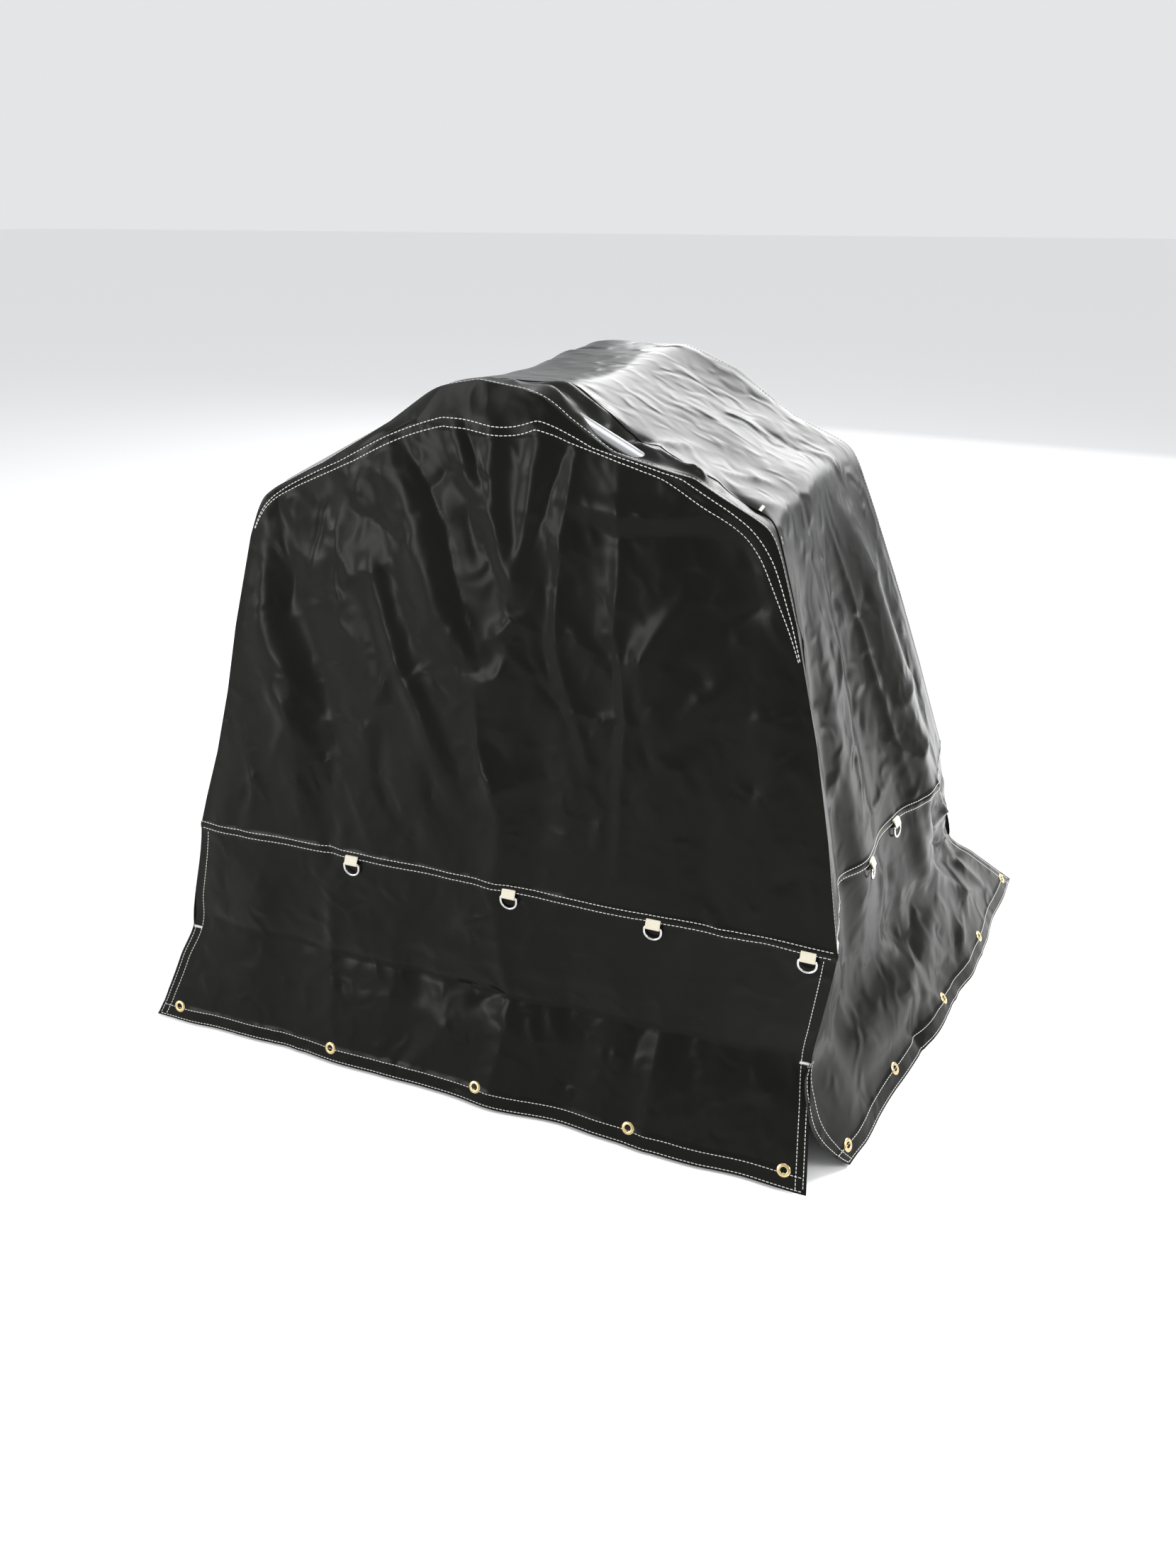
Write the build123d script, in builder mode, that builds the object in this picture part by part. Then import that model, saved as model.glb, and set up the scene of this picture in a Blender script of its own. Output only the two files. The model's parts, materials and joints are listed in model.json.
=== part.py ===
"""Tow-behind spreader under its fitted cover, in millimetres.

+Z is up and +Y is the towing direction. The origin is on the ground, under the
middle of the whole object: cover, machine and drawbar.
"""

import math
import os

from build123d import *

os.makedirs("parts", exist_ok=True)

# ---------------------------------------------------------------- cover sizes
FABRIC = 3.0              # thickness given to the coated fabric as a solid
SEW_GAP = 0.6             # gap between an end panel's edge and the arch around it
ROOF_Z = 1190.0           # flat top of the cover
SHOULDER_Z = 1028.0       # where the sloping roof meets the sides
SEAM_Z = 425.0            # stitched seam that carries the rings
SLIT_Z = 205.0            # top of the corner slits
HEM_Z = 6.0               # hem, just clear of the ground
ROOF_HALF = 85.0          # half width of the flat top
SHOULDER_HALF = 400.0     # half width at the shoulders
ROOF_REACH = 330.0        # from the middle to each end of the flat top

# Right-hand edge of the fabric, front corner to rear corner, at three levels
SEAM_RIGHT = [(568, -415), (556, -305), (548, -200), (579, -125),
              (580, -20), (606, 95), (652, 178), (640, 420)]
SLIT_RIGHT = [(555, -400), (566, -300), (576, -200), (596, -125),
              (622, -20), (642, 95), (668, 200), (690, 440)]
HEM_RIGHT = [(635, -390), (655, -290), (675, -200), (695, -125),
             (722, -20), (760, 130), (788, 250), (838, 648)]
SLIT_FRONT_LEFT = (-590, -428)     # left end of the front skirt at the slits
HEM_FRONT = [(-700, -478), (580, -478)]
HEM_REAR_HALF = 640.0
HEM_REAR_REACH = 640.0    # from the axle to the rear hem
TONGUE_SLOT_HALF = 40.0   # half width of the opening for the drawbar
TONGUE_SLOT_Z = 300.0     # top of that opening

RING_WIRE = 4.0           # D-ring wire diameter
RING_WIDTH = 32.0         # D-ring outside width
RING_HEIGHT = 26.0        # D-ring outside height
RING_BAR_Z = 411.0        # height of the ring's straight bar
RING_STANDOFF = 5.0       # from the fabric's face to the middle of the bar
TAB_WIDTH = 19.5
TAB_DEPTH = 9.0
TAB_HEIGHT = 14.0
TAB_BORE = 4.6
FRONT_RINGS_X = (-253, 43, 291, 535)
REAR_RINGS_X = (-480, -200, 200, 480)
SIDE_RINGS_Y = (-370, -108, 55)

GROMMET_RADIUS = 11.5
GROMMET_BARREL = 6.0      # outside radius of the barrel, and of the hole in the hem
GROMMET_BORE = 4.8
GROMMET_FLANGE = 1.2
GROMMET_RISE = 26.0       # above the hem
FRONT_GROMMETS_X = (-660, -317, -16, 273, 541)
SIDE_GROMMETS_Y = (-372, -155, 90, 343, 622)
REAR_GROMMETS_X = (-560, -250, 250, 560)
TACK = (12.0, 2.0, 3.0)   # bar tack: along the cloth, proud of it, tall
TACK_GAP = 0.2            # between a bar tack and the cloth

# -------------------------------------------------------------- machine sizes
WHEEL_RADIUS = 205.0
WHEEL_WIDTH = 150.0
WHEEL_X = 425.0           # middle of each wheel
RIM_RADIUS = 101.0
RIM_SHEET = 4.0           # pressed sheet of the rim
RIM_INSET = 8.0           # from the tyre's side to the rim's lip
RIM_LIP = 9.0             # height of the lip over the bead seat
BEAD = 4.0                # from the lip to the bead seat
HUB_RADIUS = 28.0
DISC_FOOT = 6.0           # outer face of the wheel disc, from the wheel's middle
TREAD_EDGE = 27.0         # bevel between tread and side
TYRE_WALL = 9.0
AXLE_RADIUS = 10.0
AXLE_HALF = 496.0
RUNNING_FIT = 0.05        # radial clearance of a shaft that turns in its bore
COLLAR_WIDTH = 10.0
COLLAR_DEPTH = 8.0        # of the collar's wall
COLLAR_PLAY = 1.0         # between a wheel's hub and its collar
AXLE_STUB = 4.0           # axle past the hub's outer end and the collar

TUBE = 40.0               # square frame tube
TUBE_WALL = 3.0
RAIL_X = 240.0
RAIL_HALF = 260.0
RAIL_Z = 235.0            # underside of the rails
TONGUE_TUBE = 50.0
TONGUE_Z = 255.0          # middle of the drawbar
TONGUE_END = 1080.0
BEARING = (30.0, 60.0)    # bearing block: along the axle, along the rail

GEARBOX = (120.0, 110.0, 120.0)
CASE_WALL = 4.0
SHAFT_RADIUS = 6.0
SHAFT_TOP = 490.0
GEAR_TEETH = 30
PINION_TEETH = 12
GEAR_MODULE = 2.0
TOOTH_FACE = 8.0
TOOTH_WIDTH = 1.5
TOOTH_TIP = 1.0
TOOTH_ROOT = 2.5

IMPELLER_RADIUS = 180.0
IMPELLER_Z = 375.0
IMPELLER_SHEET = 3.0
FIN = (150.0, 3.0, 20.0)
FIN_COUNT = 4

HOPPER_BOTTOM = 200.0     # square bottom, outside
HOPPER_Z = 430.0
HOPPER_TOP = (720.0, 560.0)
HOPPER_TOP_Z = 943.0
HOPPER_WALL = 4.0
HOPPER_FLANGE = 40.0
OUTLET = 40.0             # square feed hole
OUTLET_X = 55.0
CRADLE_Z = 660.0
CRADLE_BAR = 40.0
POST = 25.0
POST_Y = 165.0

GATE_PLATE = (56.0, 50.0, 3.0)
GATE_Z = 425.0
GATE_TRAVEL = 46.0
ROD_RADIUS = 4.0
LEVER_Y = 330.0
LEVER_PIVOT_Z = 320.0
LEVER_ARM = 105.0
LEVER_TOP_Z = 600.0
LEVER_BAR = (8.0, 30.0)
PIN_RADIUS = 5.0

DEFLECTOR_Z = (335.0, 405.0)
DEFLECTOR_REACH = 225.0

BOW_RADIUS = 12.5
BOW_Y = 300.0
BOW_BEND = 30.0
BOW_INSET = 20.0          # from the cover's face to the middle of the bow's tube
SPREADER_BAR_RADIUS = 8.0

STAND_Y = 780.0
STAND_PIVOT_Z = 212.0
STAND_BAR = (40.0, 25.0)
STAND_PIN_RADIUS = 6.0
FOOT = (80.0, 60.0, 5.0)
EAR = 5.0                 # plate thickness of brackets and the clevis
HITCH_BORE = 8.0
HITCH_SETBACK = 50.0      # from the drawbar's end to the pin hole
CLEVIS_LENGTH = 80.0

# ------------------------------------------------------------ derived places
REAR_END = TONGUE_END + CLEVIS_LENGTH
FRONT_END = HEM_FRONT[0][1]
AXLE_Y = -(REAR_END + FRONT_END) / 2      # puts the origin under the middle
AXLE_Z = WHEEL_RADIUS
SEAM_REACH_FRONT = SEAM_RIGHT[0][1]
SEAM_REACH_REAR = SEAM_RIGHT[-1][1]


def at(x: float, y: float, z: float) -> tuple:
    """A place measured from the ground under the axle's middle."""
    return (x, AXLE_Y + y, z)


def level(z: float) -> Plane:
    """The horizontal plane at height z, centred on the axle's middle."""
    return Plane(at(0, 0, z))


def upright(x: float = 0.0) -> Plane:
    """The plane across X at x, with +Y to the right and +Z up."""
    return Plane(at(x, 0, 0), x_dir=(0, 1, 0), z_dir=(1, 0, 0))


def keep(piece: BuildPart, label: str) -> None:
    """Name a finished piece and write it to its own STEP file."""
    piece.part.label = label
    export_step(piece.part, f"parts/{label}.step")


def block(x: tuple, y: tuple, z: tuple, mode: Mode = Mode.ADD) -> None:
    """Add a box to the open part, given by its limits along each axis."""
    middle = [(low + high) / 2 for low, high in (x, y, z)]
    with Locations(at(*middle)):
        Box(x[1] - x[0], y[1] - y[0], z[1] - z[0], mode=mode)


def rod(radius: float, start: tuple, end: tuple, mode: Mode = Mode.ADD) -> None:
    """Add a round bar to the open part, between two places."""
    start, end = Vector(*at(*start)), Vector(*at(*end))
    with BuildSketch(Plane(start, z_dir=end - start)) as disc:
        Circle(radius)
    extrude(disc.sketch, amount=(end - start).length, mode=mode)


def both(value: float) -> tuple:
    """The limits of a length centred on the middle plane."""
    return (-value, value)


# ------------------------------------------------------- cover: shared helpers
def mirrored(edge: list) -> list:
    """The left-hand copy of an edge, still listed front corner first."""
    return [(-x, y) for x, y in edge]


def meet(p: tuple, u: tuple, q: tuple, v: tuple) -> tuple:
    """Where the line through p along u crosses the line through q along v."""
    cross = u[0] * v[1] - u[1] * v[0]
    share = ((q[0] - p[0]) * v[1] - (q[1] - p[1]) * v[0]) / cross
    return (p[0] + share * u[0], p[1] + share * u[1])


def inset(edge: list, depth: float, first_cut: tuple, last_cut: tuple) -> list:
    """The edge moved to its left by depth, with mitred bends and cut ends."""
    lines = []
    for (x0, y0), (x1, y1) in zip(edge, edge[1:]):
        length = math.hypot(x1 - x0, y1 - y0)
        run = ((x1 - x0) / length, (y1 - y0) / length)
        lines.append(((x0 - run[1] * depth, y0 + run[0] * depth), run))
    inner = [meet(*lines[0], edge[0], first_cut)]
    for (p, u), (q, v) in zip(lines, lines[1:]):
        straight = abs(u[0] * v[1] - u[1] * v[0]) < 1e-6
        inner.append(q if straight else meet(p, u, q, v))
    inner.append(meet(*lines[-1], edge[-1], last_cut))
    return inner


def band(plane: Plane, edge: list, first_cut: tuple, last_cut: tuple) -> Sketch:
    """A strip of fabric on a plane, one thickness wide, inside an edge."""
    inner = inset(edge, FABRIC, first_cut, last_cut)
    with BuildSketch(plane) as strip:
        with BuildLine():
            Polyline(*edge, *reversed(inner), close=True)
        make_face()
    return strip.sketch


def skirt_wall(edges: list, first_cut: tuple, last_cut: tuple) -> None:
    """Add a skirt to the open part, through its seam, slit and hem edges."""
    levels = (SEAM_Z, SLIT_Z, HEM_Z)
    for (upper, high), (lower, low) in zip(zip(edges, levels), zip(edges[1:], levels[1:])):
        bottom = band(level(low), lower, first_cut, last_cut)
        top = band(level(high), upper, first_cut, last_cut)
        loft(sections=[bottom, top], ruled=True)


def section_plane(y_seam: float) -> Plane:
    """The sloping plane across the cover that meets the seam at y_seam."""
    share = (y_seam - SEAM_REACH_FRONT) / (SEAM_REACH_REAR - SEAM_REACH_FRONT)
    y_roof = ROOF_REACH * (2 * share - 1)
    rise = Vector(0, y_roof - y_seam, ROOF_Z - SEAM_Z).normalized()
    return Plane(at(0, y_seam, SEAM_Z), x_dir=(1, 0, 0), z_dir=Vector(1, 0, 0).cross(rise))


def gambrel(half_width: float, plane: Plane) -> list:
    """The cover's outline in a section plane, from right seam to left seam."""
    stretch = 1 / plane.y_dir.Z
    shoulder = (SHOULDER_Z - SEAM_Z) * stretch
    roof = (ROOF_Z - SEAM_Z) * stretch
    right = [(half_width, 0), (SHOULDER_HALF, shoulder), (ROOF_HALF, roof)]
    return right + [(-x, y) for x, y in reversed(right)]


def arch(stations: list) -> None:
    """Add a strip of roof and sides to the open part, through its stations."""
    sections = []
    for half_width, y_seam in stations:
        plane = section_plane(y_seam)
        sections.append(band(plane, gambrel(half_width, plane), (-1, 0), (1, 0)))
    for near, far in zip(sections, sections[1:]):
        loft(sections=[near, far], ruled=True)


def end_panel(station: tuple, inward: float) -> None:
    """Add a gambrel end panel inside the arch at a station."""
    half_width, y_seam = station
    plane = section_plane(y_seam)
    outline = inset(gambrel(half_width, plane), FABRIC + SEW_GAP, (-1, 0), (1, 0))
    for end in (0, -1):
        outline[end] = (outline[end][0], FABRIC * abs(plane.z_dir.Z) + SEW_GAP)
    with BuildSketch(plane) as panel:
        with BuildLine():
            Polyline(*outline, close=True)
        make_face()
    extrude(panel.sketch, amount=inward * FABRIC)


# The fabric's edges at seam, slit and hem, each listed anticlockwise from above
RIGHT_EDGES = [SEAM_RIGHT, SLIT_RIGHT, HEM_RIGHT]
LEFT_EDGES = [list(reversed(mirrored(edge))) for edge in RIGHT_EDGES]
LEFT_EDGES[1][-1] = SLIT_FRONT_LEFT
FRONT_EDGES = [[LEFT_EDGES[0][-1], SEAM_RIGHT[0]], [SLIT_FRONT_LEFT, SLIT_RIGHT[0]], HEM_FRONT]
REAR_EDGES = [
    [SEAM_RIGHT[-1], LEFT_EDGES[0][0]],
    [SLIT_RIGHT[-1], LEFT_EDGES[1][0]],
    [(HEM_REAR_HALF, HEM_REAR_REACH), (-HEM_REAR_HALF, HEM_REAR_REACH)],
]
SKIRTS = {
    "skirt_front": (FRONT_EDGES, (1, 1), (-1, 1)),
    "skirt_right": (RIGHT_EDGES, (-1, 1), (-1, -1)),
    "skirt_rear": (REAR_EDGES, (-1, -1), (1, -1)),
    "skirt_left": (LEFT_EDGES, (1, -1), (1, 1)),
}


def locate(edge: list, key: int, value: float) -> tuple:
    """The stretch of an edge, and the share of it, where x (0) or y (1) is value."""
    for index, (start, end) in enumerate(zip(edge, edge[1:])):
        low, high = sorted((start[key], end[key]))
        if low <= value <= high:
            return index, (value - start[key]) / (end[key] - start[key])
    raise ValueError(f"{value} is beyond the edge")


def on_edge(edge: list, place: tuple, z: float) -> tuple:
    """The point and the direction of an edge at a located place."""
    index, share = place
    start, end = Vector(*edge[index], z), Vector(*edge[index + 1], z)
    return start + (end - start) * share, (end - start).normalized()


def fabric_face(edges: list, tier: int, key: int, value: float, z: float) -> Plane:
    """The plane on the fabric's outer face: x along the cloth, z outward.

    In tier 0, from seam to slit, value is read on the seam. In tier 1, from
    slit to hem, it is read on the hem.
    """
    high, low = ((SEAM_Z, SLIT_Z), (SLIT_Z, HEM_Z))[tier]
    place = locate(edges[2 * tier], key, value)
    top, run = on_edge(edges[tier], place, high)
    bottom, _ = on_edge(edges[tier + 1], place, low)
    foot = bottom + (top - bottom) * ((z - low) / (high - low))
    outward = run.cross(top - bottom).normalized()
    return Plane(at(*foot), x_dir=run, z_dir=outward)


def ring_places() -> dict:
    """Each ring's name and the fabric plane that its bar lies over."""
    places = {}
    for index, x in enumerate(FRONT_RINGS_X, 1):
        places[f"ring_front_{index}"] = fabric_face(FRONT_EDGES, 0, 0, x, RING_BAR_Z)
    for index, y in enumerate(SIDE_RINGS_Y, 1):
        places[f"ring_right_{index}"] = fabric_face(RIGHT_EDGES, 0, 1, y, RING_BAR_Z)
    for index, x in enumerate(REAR_RINGS_X, 1):
        places[f"ring_rear_{index}"] = fabric_face(REAR_EDGES, 0, 0, x, RING_BAR_Z)
    for index, y in enumerate(SIDE_RINGS_Y, 1):
        places[f"ring_left_{index}"] = fabric_face(LEFT_EDGES, 0, 1, y, RING_BAR_Z)
    return places


def grommet_places() -> dict:
    """For each skirt, the planes on its hem flap where a grommet sits."""
    z = HEM_Z + GROMMET_RISE
    return {
        "skirt_front": [fabric_face(FRONT_EDGES, 1, 0, x, z) for x in FRONT_GROMMETS_X],
        "skirt_right": [fabric_face(RIGHT_EDGES, 1, 1, y, z) for y in SIDE_GROMMETS_Y],
        "skirt_rear": [fabric_face(REAR_EDGES, 1, 0, x, z) for x in REAR_GROMMETS_X],
        "skirt_left": [fabric_face(LEFT_EDGES, 1, 1, y, z) for y in SIDE_GROMMETS_Y],
    }


# --------------------------------------------------------------------- cover
with BuildPart() as cover_front_panel:
    end_panel(SEAM_RIGHT[0], -1)
keep(cover_front_panel, "cover_front_panel")

with BuildPart() as cover_rear_panel:
    end_panel(SEAM_RIGHT[-1], 1)
keep(cover_rear_panel, "cover_rear_panel")

with BuildPart() as cover_front_gusset:
    arch(SEAM_RIGHT[:2])
keep(cover_front_gusset, "cover_front_gusset")

with BuildPart() as cover_main_band:
    arch(SEAM_RIGHT[1:])
keep(cover_main_band, "cover_main_band")

grommets = grommet_places()
for name, (edges, first_cut, last_cut) in SKIRTS.items():
    with BuildPart() as skirt:
        skirt_wall(edges, first_cut, last_cut)
        for face in grommets[name]:
            with BuildSketch(face.offset(FABRIC)):
                Circle(GROMMET_BARREL)
            extrude(amount=-3 * FABRIC, mode=Mode.SUBTRACT)
        if name == "skirt_rear":
            block(both(TONGUE_SLOT_HALF), (SEAM_REACH_REAR - 20, HEM_RIGHT[-1][1] + 20),
                  (0, TONGUE_SLOT_Z), mode=Mode.SUBTRACT)
    keep(skirt, name)

with BuildPart() as hem_grommets:
    for face in [place for places in grommets.values() for place in places]:
        middle = face.offset(-FABRIC / 2)
        reach = FABRIC / 2 + 0.3
        for side in (1, -1):
            with BuildSketch(middle.offset(side * reach)):
                Circle(GROMMET_RADIUS)
                Circle(GROMMET_BORE, mode=Mode.SUBTRACT)
            extrude(amount=side * GROMMET_FLANGE)
        with BuildSketch(middle.offset(-reach)):
            Circle(GROMMET_BARREL - 0.1)
            Circle(GROMMET_BORE, mode=Mode.SUBTRACT)
        extrude(amount=2 * reach)
keep(hem_grommets, "hem_grommets")

rings = ring_places()
with BuildPart() as ring_tabs:
    for face in rings.values():
        with BuildSketch(face.offset(TAB_DEPTH)):
            with Locations((0, TAB_HEIGHT / 2 - TAB_BORE)):
                Rectangle(TAB_WIDTH, TAB_HEIGHT)
        extrude(amount=-TAB_DEPTH)
        bar = face.offset(RING_STANDOFF)
        with BuildSketch(Plane(bar.origin - bar.x_dir * TAB_WIDTH, z_dir=bar.x_dir)):
            Circle(TAB_BORE / 2)
        extrude(amount=2 * TAB_WIDTH, mode=Mode.SUBTRACT)
keep(ring_tabs, "ring_tabs")

for name, face in rings.items():
    half = (RING_WIDTH - RING_WIRE) / 2
    drop = RING_HEIGHT - RING_WIRE
    corner = RING_WIRE
    bar = face.offset(RING_STANDOFF)
    with BuildPart() as ring:
        with BuildLine(bar):
            flat = Line((0, 0), (half - corner, 0))
            bend = RadiusArc(flat @ 1, (half, -corner), corner)
            leg = Line(bend @ 1, (half, half - drop))
            RadiusArc(leg @ 1, (0, -drop), half)
        with BuildSketch(Plane(bar.origin, z_dir=bar.x_dir)):
            Circle(RING_WIRE / 2)
        sweep()
        mirror(about=Plane(bar.origin, z_dir=bar.x_dir))
    keep(ring, name)

with BuildPart() as slit_bar_tacks:
    for edges in (FRONT_EDGES, REAR_EDGES):
        for corner_x, _ in edges[0]:
            x = corner_x - math.copysign(TACK[0], corner_x)
            with BuildSketch(fabric_face(edges, 0, 0, x, SLIT_Z + TACK[2]).offset(TACK_GAP)):
                Rectangle(TACK[0], TACK[2])
            extrude(amount=TACK[1])
keep(slit_bar_tacks, "slit_bar_tacks")

# --------------------------------------------------------------------- frame
RAIL_TOP = RAIL_Z + TUBE
CROSS_HALF = RAIL_X - TUBE / 2


def square_tube(x: tuple, y: tuple, z: tuple, axis: int) -> None:
    """Add a square tube to the open part, open at both ends along an axis."""
    limits = [x, y, z]
    block(*limits)
    hollow = [(low + TUBE_WALL, high - TUBE_WALL) for low, high in limits]
    hollow[axis] = limits[axis]
    block(*hollow, mode=Mode.SUBTRACT)


with BuildPart() as frame_rails:
    for side in (-1, 1):
        x = side * RAIL_X
        square_tube((x - TUBE / 2, x + TUBE / 2), both(RAIL_HALF), (RAIL_Z, RAIL_TOP), 1)
keep(frame_rails, "frame_rails")

CARRIER_Y = (GEARBOX[1] + TUBE) / 2
with BuildPart() as cross_members:
    for y in (-RAIL_HALF + TUBE / 2, -CARRIER_Y, CARRIER_Y, RAIL_HALF - TUBE / 2):
        square_tube(both(CROSS_HALF), (y - TUBE / 2, y + TUBE / 2), (RAIL_Z, RAIL_TOP), 0)
keep(cross_members, "cross_members")

TONGUE_Z_LIMITS = (TONGUE_Z - TONGUE_TUBE / 2, TONGUE_Z + TONGUE_TUBE / 2)
with BuildPart() as tongue:
    square_tube(both(TONGUE_TUBE / 2), (RAIL_HALF, TONGUE_END), TONGUE_Z_LIMITS, 1)
keep(tongue, "tongue")

BRACE_START = (CROSS_HALF - 10, RAIL_HALF)
BRACE_END = RAIL_HALF + 140
BRACE_WIDTH = 30.0
with BuildPart() as tongue_braces:
    with BuildSketch(level(RAIL_Z + 5)):
        for side in (-1, 1):
            x, y = BRACE_START
            root = TONGUE_TUBE / 2
            with BuildLine():
                Polyline((side * x, y), (side * root, BRACE_END),
                         (side * root, BRACE_END - BRACE_WIDTH), (side * (x - BRACE_WIDTH), y),
                         close=True)
            make_face()
    extrude(amount=BRACE_WIDTH)
keep(tongue_braces, "tongue_braces")

HITCH_Y = TONGUE_END + HITCH_SETBACK
CLEVIS_Z = (TONGUE_Z_LIMITS[0] - EAR, TONGUE_Z_LIMITS[1] + EAR)
CLEVIS_GAP = (TONGUE_Z_LIMITS[0] + EAR, TONGUE_Z_LIMITS[1] - EAR)
with BuildPart() as hitch_clevis:
    block(both(TONGUE_TUBE / 2), (TONGUE_END, REAR_END), CLEVIS_Z)
    fillet(hitch_clevis.edges().filter_by(Axis.Z).group_by(Axis.Y)[-1], radius=TONGUE_TUBE / 2 - 1)
    block(both(TONGUE_TUBE), (TONGUE_END + 2 * EAR, REAR_END + 1), CLEVIS_GAP, mode=Mode.SUBTRACT)
    rod(HITCH_BORE, (0, HITCH_Y, CLEVIS_Z[0] - 1), (0, HITCH_Y, CLEVIS_Z[1] + 1), Mode.SUBTRACT)
keep(hitch_clevis, "hitch_clevis")

# --------------------------------------------------------------- stand leg
STAND_HUB = STAND_BAR[1] / 2 + 2
with BuildPart() as stand_bracket:
    for side in (-1, 1):
        x = sorted((side * TONGUE_TUBE / 2, side * (TONGUE_TUBE / 2 + EAR)))
        block(tuple(x), (STAND_Y - STAND_BAR[1], STAND_Y + STAND_BAR[1]),
              (STAND_PIVOT_Z - STAND_HUB, TONGUE_Z))
    pin_half = TONGUE_TUBE / 2 + 2 * EAR
    rod(STAND_PIN_RADIUS + RUNNING_FIT, (-pin_half, STAND_Y, STAND_PIVOT_Z),
        (pin_half, STAND_Y, STAND_PIVOT_Z), Mode.SUBTRACT)
    rod(STAND_PIN_RADIUS, (-pin_half, STAND_Y, STAND_PIVOT_Z), (pin_half, STAND_Y, STAND_PIVOT_Z))
keep(stand_bracket, "stand_bracket")

with BuildPart() as stand_leg:
    hub_half = TONGUE_TUBE / 2 - 0.5
    rod(STAND_HUB, (-hub_half, STAND_Y, STAND_PIVOT_Z), (hub_half, STAND_Y, STAND_PIVOT_Z))
    block(both(STAND_BAR[0] / 2), (STAND_Y - STAND_BAR[1] / 2, STAND_Y + STAND_BAR[1] / 2),
          (0, STAND_PIVOT_Z))
    block(both(FOOT[0] / 2), (STAND_Y + STAND_BAR[1] / 2 - FOOT[1], STAND_Y + STAND_BAR[1] / 2),
          (0, FOOT[2]))
    rod(STAND_PIN_RADIUS + RUNNING_FIT, (-TONGUE_TUBE, STAND_Y, STAND_PIVOT_Z),
        (TONGUE_TUBE, STAND_Y, STAND_PIVOT_Z), Mode.SUBTRACT)
keep(stand_leg, "stand_leg")

# -------------------------------------------------------------- axle, wheels
for name, side in (("bearing_block_left", -1), ("bearing_block_right", 1)):
    with BuildPart() as bearing:
        x = side * RAIL_X
        block((x - BEARING[0] / 2, x + BEARING[0] / 2), both(BEARING[1] / 2),
              (AXLE_Z - BEARING[1] / 3, RAIL_Z))
        fillet(bearing.edges().filter_by(Axis.X).group_by(Axis.Z)[0], radius=BEARING[1] / 4)
        rod(AXLE_RADIUS + RUNNING_FIT, (x - TUBE, 0, AXLE_Z), (x + TUBE, 0, AXLE_Z), Mode.SUBTRACT)
    keep(bearing, name)

with BuildPart() as axle:
    rod(AXLE_RADIUS, (-AXLE_HALF, 0, AXLE_Z), (AXLE_HALF, 0, AXLE_Z))
keep(axle, "axle")

HUB_HALF = AXLE_HALF - COLLAR_WIDTH - AXLE_STUB - WHEEL_X
with BuildPart() as axle_collars:
    for side in (-1, 1):
        inner = side * (WHEEL_X + HUB_HALF + COLLAR_PLAY)
        outer = inner + side * COLLAR_WIDTH
        rod(AXLE_RADIUS + COLLAR_DEPTH, (inner, 0, AXLE_Z), (outer, 0, AXLE_Z))
    rod(AXLE_RADIUS, (-AXLE_HALF, 0, AXLE_Z), (AXLE_HALF, 0, AXLE_Z), Mode.SUBTRACT)
keep(axle_collars, "axle_collars")


def turned(x: float, side: int, profile: list) -> None:
    """Add a body turned about the axle, from (offset, radius) points."""
    plane = Plane(at(x, 0, AXLE_Z), x_dir=(side, 0, 0), z_dir=(0, -side, 0))
    with BuildSketch(plane) as half_section:
        with BuildLine():
            Polyline(*profile, close=True)
        make_face()
    revolve(half_section.sketch, axis=Axis(at(x, 0, AXLE_Z), (1, 0, 0)))


def wheel(side: int, bore: float, prefix: str) -> None:
    """Write the rim and the tyre of one wheel."""
    seat = WHEEL_WIDTH / 2 - RIM_INSET
    lip = RIM_RADIUS + RIM_LIP
    crest = lip + RIM_SHEET / 2
    inner = RIM_RADIUS - RIM_SHEET
    left_lip = [(-seat, crest), (-seat - RIM_SHEET, crest), (-seat - RIM_SHEET, lip),
                (-seat - RIM_SHEET / 2, lip)]
    right_lip = [(-x, z) for x, z in reversed(left_lip)]
    with BuildPart() as rim:
        turned(side * WHEEL_X, side, [
            (-HUB_HALF, bore), (HUB_HALF, bore), (HUB_HALF, HUB_RADIUS), (DISC_FOOT, HUB_RADIUS),
            (DISC_FOOT, inner - RIM_SHEET), (seat - RIM_SHEET, inner), *right_lip,
            (seat - BEAD, RIM_RADIUS), (BEAD - seat, RIM_RADIUS), *left_lip,
            (RIM_SHEET - seat, inner), (DISC_FOOT - RIM_SHEET, inner - RIM_SHEET),
            (DISC_FOOT - RIM_SHEET, HUB_RADIUS), (-HUB_HALF, HUB_RADIUS),
        ])
    keep(rim, f"{prefix}_rim")
    half = WHEEL_WIDTH / 2
    tread = half - TREAD_EDGE
    outside = [(seat - BEAD, RIM_RADIUS), (seat - BEAD / 2, crest), (half, crest + RIM_SHEET * 2),
               (half, WHEEL_RADIUS - TREAD_EDGE), (tread, WHEEL_RADIUS)]
    inside = [(tread, WHEEL_RADIUS - TYRE_WALL), (half - TYRE_WALL, WHEEL_RADIUS - TREAD_EDGE),
              (half - TYRE_WALL, crest + RIM_SHEET * 2), (seat - BEAD - TYRE_WALL, RIM_RADIUS)]
    with BuildPart() as tyre:
        turned(side * WHEEL_X, side, [
            *outside, *((-x, z) for x, z in reversed(outside)),
            *((-x, z) for x, z in reversed(inside)), *inside,
        ])
    keep(tyre, f"{prefix}_tyre")


wheel(1, AXLE_RADIUS, "drive_wheel")
wheel(-1, AXLE_RADIUS + RUNNING_FIT, "free_wheel")

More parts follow.
